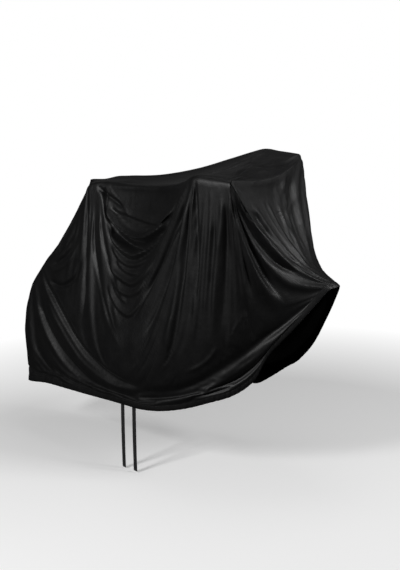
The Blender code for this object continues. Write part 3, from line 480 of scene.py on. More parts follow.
# On the front face a course is given as (y, z), and on the roof as (x, y).
FRONT_FOLDS = [
    Fold("middle ridge", "ridge", 0.014, 0.020, 0.010,
         ((0.10, 1.03), (0.04, 0.94), (0.01, 0.84), (-0.02, 0.74), (0.00, 0.66))),
    Fold("far ridge", "ridge", 0.014, 0.022, 0.010,
         ((0.20, 1.03), (0.15, 0.90), (0.10, 0.80), (0.04, 0.72), (0.01, 0.64))),
    Fold("far valley", "trough", 0.012, 0.020, 0.010, ((0.25, 1.02), (0.18, 0.86), (0.11, 0.74))),
    Fold("near valley", "trough", 0.014, 0.022, 0.012,
         ((-0.19, 0.92), (-0.14, 0.82), (-0.08, 0.72), (-0.04, 0.66))),
]
FRONT_FAMILIES = [
    Family("front streaks", "pleat", 9, 0.005, 0.005, 0.005,
           ((-0.17, 0.95), (-0.12, 0.84), (-0.07, 0.74), (-0.03, 0.67)),
           ((0.22, 1.00), (0.18, 0.87), (0.11, 0.76), (0.04, 0.68))),
]
FRONT_CREASES = [
    Fold("near streak", "ridge", 0.007, 0.007, 0.006,
         ((-0.18, 0.94), (-0.14, 0.86), (-0.11, 0.78), (-0.06, 0.70), (-0.02, 0.65))),
    Fold("near streak valley", "trough", 0.006, 0.006, 0.007,
         ((-0.15, 0.86), (-0.10, 0.76), (-0.03, 0.66))),
    Fold("slack streak", "ridge", 0.006, 0.006, 0.006, ((-0.07, 0.94), (-0.05, 0.80), (-0.01, 0.67))),
    Fold("thin streak", "ridge", 0.005, 0.006, 0.005, ((0.01, 1.00), (0.00, 0.87), (-0.03, 0.74))),
    Fold("bright streak", "ridge", 0.007, 0.007, 0.007,
         ((0.08, 1.02), (0.04, 0.88), (0.00, 0.77), (0.00, 0.67))),
    Fold("streak valley", "trough", 0.006, 0.006, 0.006, ((0.13, 1.01), (0.09, 0.87), (0.02, 0.72))),
    Fold("far streak", "ridge", 0.007, 0.007, 0.008, ((0.17, 1.01), (0.14, 0.87), (0.05, 0.73))),
    Fold("far edge line", "trough", 0.006, 0.006, 0.006, ((0.22, 1.00), (0.18, 0.86), (0.10, 0.73))),
]
ROOF_FOLDS = [
    Fold("bar crease", "ridge", 0.012, 0.014, 0.009, ((0.10, -0.27), (0.03, 0.00), (-0.04, 0.25))),
    Fold("roof valley", "trough", 0.018, 0.022, 0.008, ((-0.02, -0.24), (-0.10, 0.00), (-0.16, 0.18))),
]
ROOF_CREASES = [
    Fold("bar line", "ridge", 0.006, 0.006, 0.007, ((0.08, -0.25), (0.03, -0.06), (-0.03, 0.18))),
    Fold("bar line valley", "trough", 0.005, 0.005, 0.006, ((0.10, -0.26), (0.06, -0.12), (0.02, 0.04))),
    Fold("rear line", "ridge", 0.007, 0.007, 0.006, ((-0.23, 0.00), (-0.12, 0.05), (-0.03, 0.19))),
]

# ---------------- where the cloth is held from below
SUPPORTS = [
    Support("saddle rear", -0.720, 0.000, 0.940, 0.070),
    Support("saddle", -0.660, 0.000, 0.940, 0.080),
    Support("saddle nose", -0.620, 0.000, 0.945, 0.060),
    Support("near grip rear", -0.060, -0.280, 1.030, 0.035),
    Support("near grip", 0.020, -0.285, 1.035, 0.040),
    Support("near grip front", 0.100, -0.285, 1.030, 0.035),
    Support("far grip rear", -0.060, 0.280, 1.080, 0.035),
    Support("far grip", 0.020, 0.280, 1.080, 0.040),
    Support("far grip front", 0.100, 0.280, 1.070, 0.035),
    Support("near half of the bar", 0.020, -0.140, 1.040, 0.040),
    Support("stem", 0.020, 0.000, 1.045, 0.050),
    Support("far half of the bar", 0.020, 0.140, 1.060, 0.040),
    Support("front tip", 0.420, 0.010, 0.600, 0.030),
    Support("rear mudguard end", -1.100, 0.000, 0.470, 0.050),
    Support("rear mudguard", -1.050, 0.000, 0.530, 0.050),
]


# ---------------- curves
def curve_through(stations, points, station):
    """Point at one station of a smooth curve through the given points, or of a row of such curves."""
    gaps = np.diff(stations)
    i = int(np.clip(np.searchsorted(stations, station, side="right") - 1, 0, len(gaps) - 1))

    def slope(j):
        if j == 0:
            return (points[1] - points[0]) / gaps[0]
        if j == len(gaps):
            return (points[-1] - points[-2]) / gaps[-1]
        before = (points[j] - points[j - 1]) / gaps[j - 1]
        after = (points[j + 1] - points[j]) / gaps[j]
        return (before * gaps[j] + after * gaps[j - 1]) / (gaps[j - 1] + gaps[j])

    t = (station - stations[i]) / gaps[i]
    return (
        (2 * t**3 - 3 * t**2 + 1) * points[i]
        + (t**3 - 2 * t**2 + t) * gaps[i] * slope(i)
        + (3 * t**2 - 2 * t**3) * points[i + 1]
        + (t**3 - t**2) * gaps[i] * slope(i + 1)
    )


def smooth_step(value):
    """0 below 0, 1 above 1, and an S-shaped rise between."""
    value = np.clip(value, 0.0, 1.0)
    return value * value * (3 - 2 * value)


def rise_between(ends, value):
    """0 below the first end, 1 above the second, and an S-shaped rise between."""
    return smooth_step((value - ends[0]) / (ends[1] - ends[0]))


def distances(points):
    """How far along a line of points each of them lies."""
    return np.concatenate([[0], np.cumsum(np.linalg.norm(np.diff(points, axis=0), axis=1))])


# ---------------- the plain tent, before its folds
def rib_stations(ribs):
    """Column number at which each rib stands."""
    return np.concatenate([[0], np.cumsum([rib.columns for rib in ribs[:-1]])]).astype(float)


def tent_side(ribs, other_ribs, finer, roof_rows, wall_rows):
    """Grid of points: a row per step from the spine down to the hem, a column per step forward."""
    own = rib_stations(ribs)
    other = rib_stations(other_ribs)
    columns = np.arange(own[-1] * finer + 1) / finer
    # The other side's next ribs keep the cloth smooth where the two sides meet, front and rear.
    around = [other_ribs[1], *ribs, other_ribs[-2]]
    stations = np.concatenate([[-other[1]], own, [own[-1] + other[-1] - other[-2]]])

    def across(name):
        """A line of points through all ribs, at one of their four heights."""
        points = np.array([getattr(rib, name) for rib in around])
        return np.array([curve_through(stations, points, column) for column in columns])

    top = np.array([(row.x, 0.0, row.z) for row in SPINE])
    spine = np.array([curve_through(own, top, column) for column in columns])
    crest = across("crest")
    wall = np.array([crest, across("high"), across("low"), across("hem")])
    wall_marks = (0.0, HIGH_SHARE, LOW_SHARE, 1.0)

    def on_roof(share):
        return spine + (crest - spine) * share

    def on_wall(share):
        return curve_through(wall_marks, wall, share)

    before = on_roof(1 - ROOF_ROUNDING)
    after = on_wall(WALL_ROUNDING)
    rows = [on_roof((1 - ROOF_ROUNDING) * i / roof_rows) for i in range(roof_rows + 1)]
    for turn in CREST_TURNS:
        rows.append((1 - turn) ** 2 * before + 2 * turn * (1 - turn) * crest + turn**2 * after)
    rows += [on_wall(WALL_ROUNDING + (1 - WALL_ROUNDING) * i / wall_rows) for i in range(wall_rows + 1)]
    return np.array(rows)


def grid_normals(grid, outward):
    """Unit normals of a grid of points, turned to the side that `outward` tells."""
    normals = np.cross(np.gradient(grid, axis=1), np.gradient(grid, axis=0))
    return outward * normals / np.maximum(np.linalg.norm(normals, axis=2), 1e-9)[:, :, None]


# ---------------- folds
def fold_path(course):
    """Smooth path through a fold's few points."""
    points = np.array(course, float)
    marks = distances(points)
    count = STEPS_A_SPAN * (len(points) - 1)
    return np.array([curve_through(marks, points, marks[-1] * i / count) for i in range(count + 1)])


def fold_height(fold, across, along):
    """Height of one fold at flat places on the cloth."""
    path = fold_path(fold.course)
    reach = FOLD_REACH * np.hypot(max(fold.start_width, fold.end_width), SOFTENING)
    height = np.zeros(across.shape)
    close = (across > path[:, 0].min() - reach) & (across < path[:, 0].max() + reach)
    close &= (along > path[:, 1].min() - reach) & (along < path[:, 1].max() + reach)
    across = across[close]
    along = along[close]
    nearest = np.full(across.shape, np.inf)
    offset = np.zeros(across.shape)
    share = np.zeros(across.shape)
    for i in range(len(path) - 1):
        step = path[i + 1] - path[i]
        length = np.hypot(*step)
        t = ((across - path[i, 0]) * step[0] + (along - path[i, 1]) * step[1]) / length**2
        t = np.clip(t, 0.0, 1.0)
        away = np.hypot(across - path[i, 0] - t * step[0], along - path[i, 1] - t * step[1])
        side = (across - path[i, 0]) * step[1] - (along - path[i, 1]) * step[0]
        closer = away < nearest
        nearest = np.where(closer, away, nearest)
        offset = np.where(closer, np.sign(side) * away, offset)
        share = np.where(closer, (i + t) / (len(path) - 1), share)
    width = fold.start_width + (fold.end_width - fold.start_width) * share
    soft_width = np.hypot(width, SOFTENING)
    fade = smooth_step(share / FOLD_LEAD) * smooth_step((1 - share) / FOLD_TAIL)
    height[close] = fold.depth * fade * width / soft_width * PROFILES[fold.kind](offset / soft_width)
    return height


def hill(away):
    return np.exp(-(away**2))


def lip(away):
    """A hill that falls off steeply on one side, into a tuck."""
    return np.where(away > 0, (1 + TUCK) * hill(away / LIP_SHARPNESS) - TUCK * hill(away), hill(away))


def pleat(away):
    """A hill between two shallow valleys."""
    return (1 + PLEAT_VALLEY) * hill(away) - PLEAT_VALLEY * hill(away / 2)


PROFILES = {"ridge": hill, "trough": lambda away: -hill(away), "lip": lip, "pleat": pleat}


def stray(what, i, seed):
    """How far member i of a family strays, from -1 to 1."""
    member_rate, family_rate = STRAY_RATES[what]
    return math.sin(member_rate * i + family_rate * seed)


def members(families):
    """The single folds of each family, a little uneven in place, depth and length."""
    folds = []
    for seed, family in enumerate(families):
        first = np.array(family.first)
        last = np.array(family.last)
        for i in range(family.count):
            share = i / (family.count - 1) + UNEVEN_PLACE * stray("place", i, seed) / family.count
            course = first + (last - first) * share
            start = UNEVEN_LENGTH * (1 + stray("start", i, seed)) * (course[1] - course[0])
            end = UNEVEN_LENGTH * (1 + stray("end", i, seed)) * (course[-2] - course[-1])
            course[0] += start
            course[-1] += end
            depth = family.depth * (1 + UNEVEN_DEPTH * stray("depth", i, seed))
            name = f"{family.name} {i + 1}"
            folds.append(Fold(name, family.kind, family.start_width, family.end_width, depth, course))
    return folds


def fold_heights(tent, outward, side_folds, front_folds, roof_folds):
    """Height of all folds over one side of the plain tent."""
    x, y, z = np.moveaxis(tent, 2, 0)
    ribs = NEAR_RIBS if outward < 0 else FAR_RIBS
    stations = rib_stations(ribs) / rib_stations(ribs)[-1]
    names = [rib.name for rib in ribs]
    columns = np.linspace(0.0, 1.0, tent.shape[1])
    on_front = rise_between([stations[names.index(name)] for name in FRONT_STARTS], columns)
    off_rear = rise_between([0.0, stations[names.index("rear corner")]], columns)
    roof_rows, wall_rows = NEAR_ROWS if outward < 0 else FAR_ROWS
    crest = (roof_rows + len(CREST_TURNS)) / (roof_rows + len(CREST_TURNS) + wall_rows)
    rows = np.linspace(0.0, 1.0, tent.shape[0])
    on_wall = rise_between(WALL_STARTS, rows / crest)[:, None]
    height = np.zeros(x.shape)
    for folds, across, along, share in (
        (side_folds, x, z, on_wall * (1 - on_front) * off_rear),
        (front_folds, y, z, on_wall * on_front),
        (roof_folds, x, y, 1 - on_wall),
    ):
        for fold in folds:
            height += share * fold_height(fold, across, along)
    from_grip = np.linalg.norm(tent * (1, outward, 1) - GRIP_END, axis=2)
    return height * smooth_step(from_grip / GRIP_CALM) * smooth_step(hem_distance(tent) / HEM_CALM)


def pressed(grid, outward, height):
    """A side's grid, raised by a height at each point along its normals."""
    return grid + grid_normals(grid, outward) * height[:, :, None]


def folded(tent, outward, own_folds):
    """The tent's side with its folds pressed into it."""
    return pressed(tent, outward, fold_heights(tent, outward, own_folds, FRONT_FOLDS, ROOF_FOLDS))


def hem_distance(grid):
    """How far up the cloth each point of a side lies above its hem."""
    steps = np.linalg.norm(np.diff(grid, axis=0), axis=2)
    distance = np.zeros(grid.shape[:2])
    distance[:-1] = np.cumsum(steps[::-1], axis=0)[::-1]
    return distance


def zip_edges(first, second, points):
    """Triangles between two lines of vertices with unlike counts."""

    def progress(line):
        steps = [np.linalg.norm(points[b] - points[a]) for a, b in zip(line, line[1:])]
        return np.concatenate([[0], np.cumsum(steps)]) / sum(steps)

    first_done = progress(first)
    second_done = progress(second)
    faces = []
    i = j = 0
    while i < len(first) - 1 or j < len(second) - 1:
        ahead = j == len(second) - 1 or (i < len(first) - 1 and first_done[i + 1] <= second_done[j + 1])
        if ahead:
            faces.append((first[i], second[j], first[i + 1]))
            i += 1
        else:
            faces.append((first[i], second[j], second[j + 1]))
            j += 1
    return faces


# ---------------- small helpers
def new_object(name, mesh):
    thing = bpy.data.objects.new(name, mesh)
    bpy.context.scene.collection.objects.link(thing)
    return thing


def new_mesh(name, points, faces):
    mesh = bpy.data.meshes.new(name)
    mesh.from_pydata([tuple(float(value) for value in point) for point in points], [], faces)
    mesh.shade_smooth()
    return mesh


def aim(thing, place, target):
    """Puts a camera or lamp in its place and turns it to its target."""
    thing.location = place
    thing.rotation_euler = (Vector(target) - thing.location).to_track_quat("-Z", "Y").to_euler()


def paint(thing, material):
    thing.data.materials.clear()
    thing.data.materials.append(material)


def positions(mesh):
    flat = np.empty(3 * len(mesh.vertices))
    mesh.vertices.foreach_get("co", flat)
    return flat.reshape(-1, 3)


def lay_flat(mesh, places):
    """Gives the mesh its map: where each of its points lies on the flat piece."""
    corners = np.empty(len(mesh.loops), int)
    mesh.loops.foreach_get("vertex_index", corners)
    layer = mesh.uv_layers.new(name="flat")
    layer.data.foreach_set("uv", places[corners].ravel())


def unit(vectors):
    return vectors / np.maximum(np.linalg.norm(vectors, axis=-1, keepdims=True), 1e-9)


# ---------------- finishes
# Threads, ribs and cords a metre, and the thread's twist as radians a metre.
WEAVE_THREADS = 1700.0
TAPE_RIBS = 650.0
TAPE_CORDS = 900.0
THREAD_TWISTS = (2600.0, 2600.0, 2600.0)
# Soft creases are close together across the cloth and drawn out downward.
CREASE_SCALES = (30.0, 30.0, 11.0)
CLOTH_BLACK = (0.0020, 0.0020, 0.0022, 1.0)
CLOTH_WORN = (0.0042, 0.0042, 0.0045, 1.0)
# Dust lies where its noise, times the contrast, passes the threshold, and covers little even there.
DUST = (0.060, 0.058, 0.055, 1.0)
DUST_CONTRAST = 2.2
DUST_THRESHOLD = 0.85
DUST_COVER = 0.05
TAPE_BLACK = (0.010, 0.010, 0.011, 1.0)
TAPE_WORN = (0.030, 0.030, 0.031, 1.0)
THREAD_BLACK = (0.016, 0.016, 0.017, 1.0)
THREAD_WORN = (0.034, 0.034, 0.036, 1.0)


class Value:
    """One socket of a material's nodes, for use in arithmetic."""

    def __init__(self, shade, socket):
        self.shade = shade
        self.socket = socket

    def maths(self, operation, *values):
        return self.shade.node("ShaderNodeMath", {"operation": operation}, dict(enumerate(values)))

    def __add__(self, other):
        return self.maths("ADD", self, other)

    __radd__ = __add__

    def __mul__(self, other):
        return self.maths("MULTIPLY", self, other)

    def __sub__(self, other):
        return self.maths("SUBTRACT", self, other)

    def sine(self):
        return self.maths("SINE", self)

    def threads(self, a_metre):
        """Rounded threads side by side, from 0 between two of them to 1 on top."""
        return self.maths("ABSOLUTE", (self * (a_metre * math.pi)).sine())

    def clamped(self):
        return self.maths("MINIMUM", self.maths("MAXIMUM", self, 0.0), 1.0)


class Shade:
    """The nodes of one new material."""

    def __init__(self, name):
        self.material = bpy.data.materials.new(name)
        self.material.use_nodes = True
        self.tree = self.material.node_tree
        self.surface = self.tree.nodes["Principled BSDF"]

    def node(self, kind, settings=None, values=None, output=0):
        """Adds a node, sets it up, feeds its sockets and gives one of its outputs."""
        node = self.tree.nodes.new(kind)
        for name, setting in (settings or {}).items():
            setattr(node, name, setting)
        for key, value in (values or {}).items():
            self.feed(node.inputs[key], value)
        return Value(self, node.outputs[output])

    def feed(self, socket, value):
        if isinstance(value, Value):
            self.tree.links.new(value.socket, socket)
        else:
            socket.default_value = value

    def split(self, vector):
        """The three parts of a vector."""
        parts = self.node("ShaderNodeSeparateXYZ", {}, {"Vector": vector})
        return [Value(self, socket) for socket in parts.socket.node.outputs]

    def flat_place(self):
        """Place on the flat cloth or tape, in metres: along or across it, and down."""
        return self.split(self.node("ShaderNodeUVMap", {"uv_map": "flat"}))

    def place(self):
        return self.node("ShaderNodeTexCoord", output="Object")

    def blend(self, share, first, second):
        """Colour between two colours."""
        values = {"Factor": share, "A": first, "B": second}
        return self.node("ShaderNodeMix", {"data_type": "RGBA"}, values, output=2)

    def noise(self, place, scale, detail=3.0, roughness=0.55):
        values = {"Vector": place, "Scale": scale, "Detail": detail, "Roughness": roughness}
        return self.node("ShaderNodeTexNoise", {}, values)

    def stretched(self, place, scale):
        return self.node("ShaderNodeVectorMath", {"operation": "MULTIPLY"}, {0: place, 1: scale})

    def bump(self, height, distance, strength, under=None):
        values = {"Height": height, "Distance": distance, "Strength": strength}
        if under is not None:
            values["Normal"] = under
        return self.node("ShaderNodeBump", {}, values)

    def white_light(self):
        return self.node("ShaderNodeEmission", {}, {"Color": WHITE, "Strength": 1.0})

    def finish(self, **values):
        for name, value in values.items():
            self.feed(self.surface.inputs[name.replace("_", " ")], value)
        return self.material

    def show(self, surface):
        """Shows another surface in place of the material's own one."""
        self.feed(self.tree.nodes["Material Output"].inputs["Surface"], surface)
        return self.material


def coated_cloth():
    """Black polyester with a dull satin coating: fine plain weave, soft crinkles, a little dust."""
    shade = Shade("coated_cloth")
    along, down, _ = shade.flat_place()
    place = shade.place()
    weave = along.threads(WEAVE_THREADS) * down.threads(WEAVE_THREADS)
    crinkle = shade.noise(place, scale=46.0, detail=4.0, roughness=0.6)
    creases = shade.noise(shade.stretched(place, CREASE_SCALES), scale=1.0, detail=3.0, roughness=0.5)
    handled = shade.noise(place, scale=5.5, detail=4.0, roughness=0.6)
    dust = shade.noise(place, scale=13.0, detail=6.0, roughness=0.7)
    dust = (dust * DUST_CONTRAST - DUST_THRESHOLD).clamped()
    colour = shade.blend(handled, CLOTH_BLACK, CLOTH_WORN)
    colour = shade.blend(dust * DUST_COVER, colour, DUST)
    normal = shade.bump(creases, distance=0.004, strength=0.35)
    normal = shade.bump(crinkle, distance=0.0012, strength=0.40, under=normal)
    normal = shade.bump(weave, distance=0.00008, strength=0.50, under=normal)
    return shade.finish(
        Base_Color=colour,
        Roughness=0.42 + handled * 0.10 + dust * 0.10 + weave * 0.03,
        Normal=normal,
        Sheen_Weight=0.03,
        Sheen_Roughness=0.4,
    )


def webbing():
    """Flat woven polypropylene tape with close cross ribs."""
    shade = Shade("webbing")
    across, down, _ = shade.flat_place()
    worn = shade.noise(shade.place(), scale=60.0, detail=4.0, roughness=0.6)
    weave = down.threads(TAPE_RIBS) * 0.7 + across.threads(TAPE_CORDS) * 0.3
    return shade.finish(
        Base_Color=shade.blend(worn, TAPE_BLACK, TAPE_WORN),
        Roughness=0.50 + worn * 0.16,
        Normal=shade.bump(weave, distance=0.0003, strength=0.8),
        Sheen_Weight=0.15,
    )


def thread():
    """Twisted polyester sewing thread."""
    shade = Shade("thread")
    place = shade.place()
    along, _, up = shade.split(shade.stretched(place, THREAD_TWISTS))
    tone = shade.noise(place, scale=90.0)
    return shade.finish(
        Base_Color=shade.blend(tone, THREAD_BLACK, THREAD_WORN),
        Roughness=0.42 + tone * 0.15,
        Normal=shade.bump((along + up).sine(), distance=0.00006, strength=0.6),
    )


# ---------------- the cover's cloth
def between(lines, places):
    """Smooth curve through rows of points, read at fractional row numbers."""
    first = np.clip(np.asarray(places).astype(int), 0, len(lines) - 2)
    t = (places - first).reshape(-1, *[1] * (lines.ndim - 1))
    ends = np.concatenate([2 * lines[:1] - lines[1:2], lines, 2 * lines[-1:] - lines[-2:-1]])
    a, b, c, d = (ends[first + i] for i in range(4))
    return b + t / 2 * (c - a + t * (2 * a - 5 * b + 4 * c - d + t * (3 * (b - c) + d - a)))


def refined(grid, finer_rows, finer_columns):
    """The same surface with more rows and columns between its own."""
    for finer in (finer_rows, finer_columns):
        places = np.arange((len(grid) - 1) * finer + 1) / finer
        grid = np.swapaxes(between(grid, places), 0, 1)
    return grid


def flat_places(grid, downward):
    """Where each point of a side lies on the flat cloth: along it, and down from its spine."""
    forward = np.linalg.norm(np.diff(grid, axis=1), axis=2).mean(axis=0)
    down = np.linalg.norm(np.diff(grid, axis=0), axis=2)
    along = np.broadcast_to(np.concatenate([[0], np.cumsum(forward)]), grid.shape[:2])
    fall = np.concatenate([np.zeros((1, grid.shape[1])), np.cumsum(down, axis=0)])
    return np.stack([along, downward * fall], axis=2)


class Sheet:
    """The cloth as one open surface, from its near side and the inner points of its far side."""

    def __init__(self, near, far):
        inner = far[1:, 1:-1]
        self.points = np.concatenate([near.reshape(-1, 3), inner.reshape(-1, 3)])
        flat = [flat_places(near, 1), flat_places(far, -1)[1:, 1:-1]]
        self.flat = np.concatenate([side.reshape(-1, 2) for side in flat])
        self.near_ids = np.arange(near[:, :, 0].size).reshape(near.shape[:2])
        self.far_ids = self.near_ids.size + np.arange(inner[:, :, 0].size).reshape(inner.shape[:2])
        faces = cells(self.near_ids) + [face[::-1] for face in cells(self.far_ids)]
        edges = [[*ids[::-1, 0], *ids[0, 1:], *ids[1:, -1]] for ids in (self.near_ids, self.far_ids)]
        faces += [face[::-1] for face in zip_edges(*edges, self.points)]
        self.faces = [tuple(int(i) for i in face) for face in faces]
        # The hem's loop, forward along the near side and back along the far one, and two rows above it.
        self.hem = np.array([*self.near_ids[-1], *self.far_ids[-1, ::-1]])
        self.above_hem = np.array([*self.near_ids[-3], *self.far_ids[-3, ::-1]])

    def make(self, name):
        mesh = new_mesh(name, self.points - (0.0, 0.0, REST_HEIGHT), self.faces)
        lay_flat(mesh, self.flat)
        return new_object(name, mesh)


def cells(ids):
    """The four-sided faces of a grid of vertices."""
    return [
        (ids[row, column], ids[row + 1, column], ids[row + 1, column + 1], ids[row, column + 1])
        for row in range(ids.shape[0] - 1)
        for column in range(ids.shape[1] - 1)
    ]


def holds(sheet):
    """How firmly each point is held while the cloth settles, from 0 to 1."""
    hold = np.full(len(sheet.points), LOOSE_HOLD)
    for ids, first in ((sheet.near_ids, NEAR_ROWS[0]), (sheet.far_ids, FAR_ROWS[0] - 1)):
        crest = ids[first : first + CREST_ROWS].ravel()
        hold[crest] = np.maximum(hold[crest], CREST_HOLD)
        lowest = ids[-HEM_ROWS:]
        firm = np.clip(np.linspace(LOOSE_HOLD, HEM_HOLD, HEM_ROWS), 0, 1)[:, None]
        hold[lowest] = np.maximum(hold[lowest], firm)
    for support in SUPPORTS:
        away = np.linalg.norm(sheet.points - (support.x, support.y, support.z), axis=1)
        hold = np.maximum(hold, np.clip(SUPPORT_REACH - away / support.radius, 0, 1))
    return hold


def spare_cut(points):
    """The cloth's points with spare width let in below its top, so that it falls into folds."""
    cut = points.copy()
    below = smooth_step((SPARE_TOP - points[:, 2]) / SPARE_FALL)
    cut[:, 0] += (points[:, 0] - SPARE_CENTRE) * SPARE_WIDTH * below
    cut[:, 1] *= 1 + SPARE_WIDTH * below
    return cut


def settle(thing, hold):
    """Lets a slightly oversized cloth settle between the points that hold it."""
    points = positions(thing.data)
    thing.shape_key_add(name="hung")
    spare = thing.shape_key_add(name="cut")
    spare.data.foreach_set("co", spare_cut(points).ravel())
    group = thing.vertex_groups.new(name="held")
    levels = np.round(hold, 2)
    for level in np.unique(levels):
        group.add([int(i) for i in np.flatnonzero(levels == level)], float(level), "REPLACE")
    cloth = thing.modifiers.new("settling", "CLOTH")
    for name, value in CLOTH_SETTINGS.items():
        setattr(cloth.settings, name, value)
    cloth.settings.vertex_group_mass = group.name
    cloth.settings.rest_shape_key = spare
    cloth.collision_settings.use_collision = False
    cloth.collision_settings.use_self_collision = False
    cloth.point_cache.frame_start = 1
    cloth.point_cache.frame_end = SETTLING_FRAMES
    scene = bpy.context.scene
    scene.frame_start = 1
    scene.frame_end = SETTLING_FRAMES
    for moment in range(1, SETTLING_FRAMES + 1):
        scene.frame_set(moment)
    graph = bpy.context.evaluated_depsgraph_get()
    settled = positions(thing.evaluated_get(graph).to_mesh()) + (0.0, 0.0, REST_HEIGHT)
    bpy.data.objects.remove(thing)
    return settled


def row_marks(roof_rows, wall_rows):
    """Row numbers of the spine, the crest's first and last row, and the hem."""
    below = roof_rows + len(CREST_TURNS) + 1
    return np.array([0, roof_rows, below, below + wall_rows])


def whole_far(near, inner):
    """The far side's grid with its borders, which it shares with the near side, filled in."""
    rows = np.arange(inner.shape[0] + 1)
    columns = np.arange(inner.shape[1] + 2)
    near_rows = np.interp(rows, row_marks(*FAR_ROWS), row_marks(*NEAR_ROWS))
    near_columns = np.interp(columns, FINER * rib_stations(FAR_RIBS), FINER * rib_stations(NEAR_RIBS))
    far = np.empty((len(rows), len(columns), 3))
    far[1:, 1:-1] = inner
    far[0] = between(near[0], near_columns)
    far[:, 0] = between(near[:, 0], near_rows)
    far[:, -1] = between(near[:, -1], near_rows)
    return far


def creased(grid, tent, outward, own_creases):
    """A settled side with its finer creases pressed in."""
    front_creases = FRONT_CREASES + members(FRONT_FAMILIES)
    return pressed(grid, outward, fold_heights(tent, outward, own_creases, front_creases, ROOF_CREASES))


def hem_gathers(grid, tent, outward):
    """Small gathers where the hem's seam draws the cloth in."""
    along = distances(grid[-1])
    along += GATHER_DRIFT * np.sin(DRIFT_RATE * along)
    turns = 2 * math.pi * along / GATHER_PITCH
    wave = np.sin(turns) + SECOND_GATHER * np.sin(SECOND_RATE * turns + SECOND_START)
    swell = 1 - SWELL + SWELL * np.sin(SWELL_RATE * along + SWELL_START)
    fade = 1 - smooth_step(hem_distance(tent) / GATHER_REACH)
    return pressed(grid, outward, GATHER_DEPTH * fade * wave * swell)


def turn_hem(mesh, sheet):
    """Turns the cloth's edge under, as a second layer just inside the first."""
    points = positions(mesh)
    edge = points[sheet.hem]
    up = unit(points[sheet.above_hem] - edge)
    ahead = unit(np.roll(edge, -1, axis=0) - np.roll(edge, 1, axis=0))
    inward = unit(np.cross(ahead, up))
    builder = bmesh.new()
    builder.from_mesh(mesh)
    builder.verts.ensure_lookup_table()
    flat = builder.loops.layers.uv["flat"]
    last = [builder.verts[int(i)] for i in sheet.hem]
    for depth, height in HEM_PROFILE:
        ring = [builder.verts.new(tuple(point)) for point in edge + inward * depth + up * height]
        for i in range(len(ring)):
            j = (i + 1) % len(ring)
            face = builder.faces.new((last[i], last[j], ring[j], ring[i]))
            face.smooth = True
            for loop in face.loops:
                k = sheet.hem[i if loop.vert in (last[i], ring[i]) else j]
                loop[flat].uv = (sheet.flat[k, 0], sheet.flat[k, 1] + height)
        last = ring
    builder.to_mesh(mesh)
    builder.free()


def make_cover():
    """The cover's cloth, and the sheet that it was made from."""
    near_tent = tent_side(NEAR_RIBS, FAR_RIBS, FINER, *NEAR_ROWS)
    far_tent = tent_side(FAR_RIBS, NEAR_RIBS, FINER, *FAR_ROWS)
    near = folded(near_tent, -1, NEAR_FOLDS + members(NEAR_FAMILIES))
    far = folded(far_tent, 1, FAR_FOLDS + members(FAR_FAMILIES))
    loose = Sheet(near, far)
    settled = loose.points
    settled = settle(loose.make("loose_cloth"), holds(loose))
    near = settled[loose.near_ids]
    far = whole_far(near, settled[loose.far_ids])
    near_tent = refined(near_tent, *NEAR_FINER)
    far_tent = refined(far_tent, *FAR_FINER)
    sides = []
    for grid, tent, finer, outward, creases in (
        (near, near_tent, NEAR_FINER, -1, NEAR_CREASES + members(NEAR_CREASE_FAMILIES)),
        (far, far_tent, FAR_FINER, 1, []),
    ):
        grid = creased(refined(grid, *finer), tent, outward, creases)
        sides.append(hem_gathers(grid, tent, outward))
    sheet = Sheet(*sides)
    thing = sheet.make("cover_cloth")
    turn_hem(thing.data, sheet)
    return thing, sheet


def on_cloth(tree, spot):
    """The spot set down on the cloth's outer face, and the way out of the cover there."""
    out = (spot - Vector(COVER_MIDDLE)) * Vector(OUTWARD_SHARES)
    out.normalize()
    hit = tree.ray_cast(spot + out * STITCH_REACH, -out)
    return hit[0] or spot, out


def stitch_points(start, end):
    """Three rows of three points: the near edge, ridge and far edge of a stitch's humped strip."""
    (first, out), (last, _) = start, end
    side = (last - first).normalized().cross(out).normalized() * THREAD_RADIUS
    middle = (first + last) / 2 + out * THREAD_LIFT
    points = []
    for centre, width in ((first, STITCH_TAPER), (middle, 1.0), (last, STITCH_TAPER)):
        points += [centre - side * width, centre + out * THREAD_RADIUS, centre + side * width]
    return points


def hem_stitches(sheet, cloth):
    """A lockstitch row all round, just under the top of the turned hem."""
    mesh = cloth.data
    tree = BVHTree.FromPolygons([v.co for v in mesh.vertices], [tuple(p.vertices) for p in mesh.polygons])
    points = positions(mesh)
    edge = points[sheet.hem]
    line = edge + unit(points[sheet.above_hem] - edge) * STITCH_HEIGHT
    ring = np.concatenate([line, line[:1]])
    marks = distances(ring)
    count = int(marks[-1] / STITCH_PITCH)
    verts = []
    faces = []
    for i in range(count):
        ends = []
        for share in STITCH_ENDS:
            at = (i + share) * marks[-1] / count
            spot = Vector([float(np.interp(at, marks, ring[:, axis])) for axis in range(3)])
            ends.append(on_cloth(tree, spot))
        base = len(verts)
        verts += stitch_points(*ends)
        for k in (base, base + 1, base + 3, base + 4):
            faces.append((k, k + 3, k + 4, k + 1))
    return new_object("hem_stitching", new_mesh("hem_stitching", verts, faces))


# ---------------- ties
def point_at(line, x):
    """Point of a line of points that runs forward, where it passes x."""
    return np.array([np.interp(x, line[:, 0], line[:, axis]) for axis in range(3)])


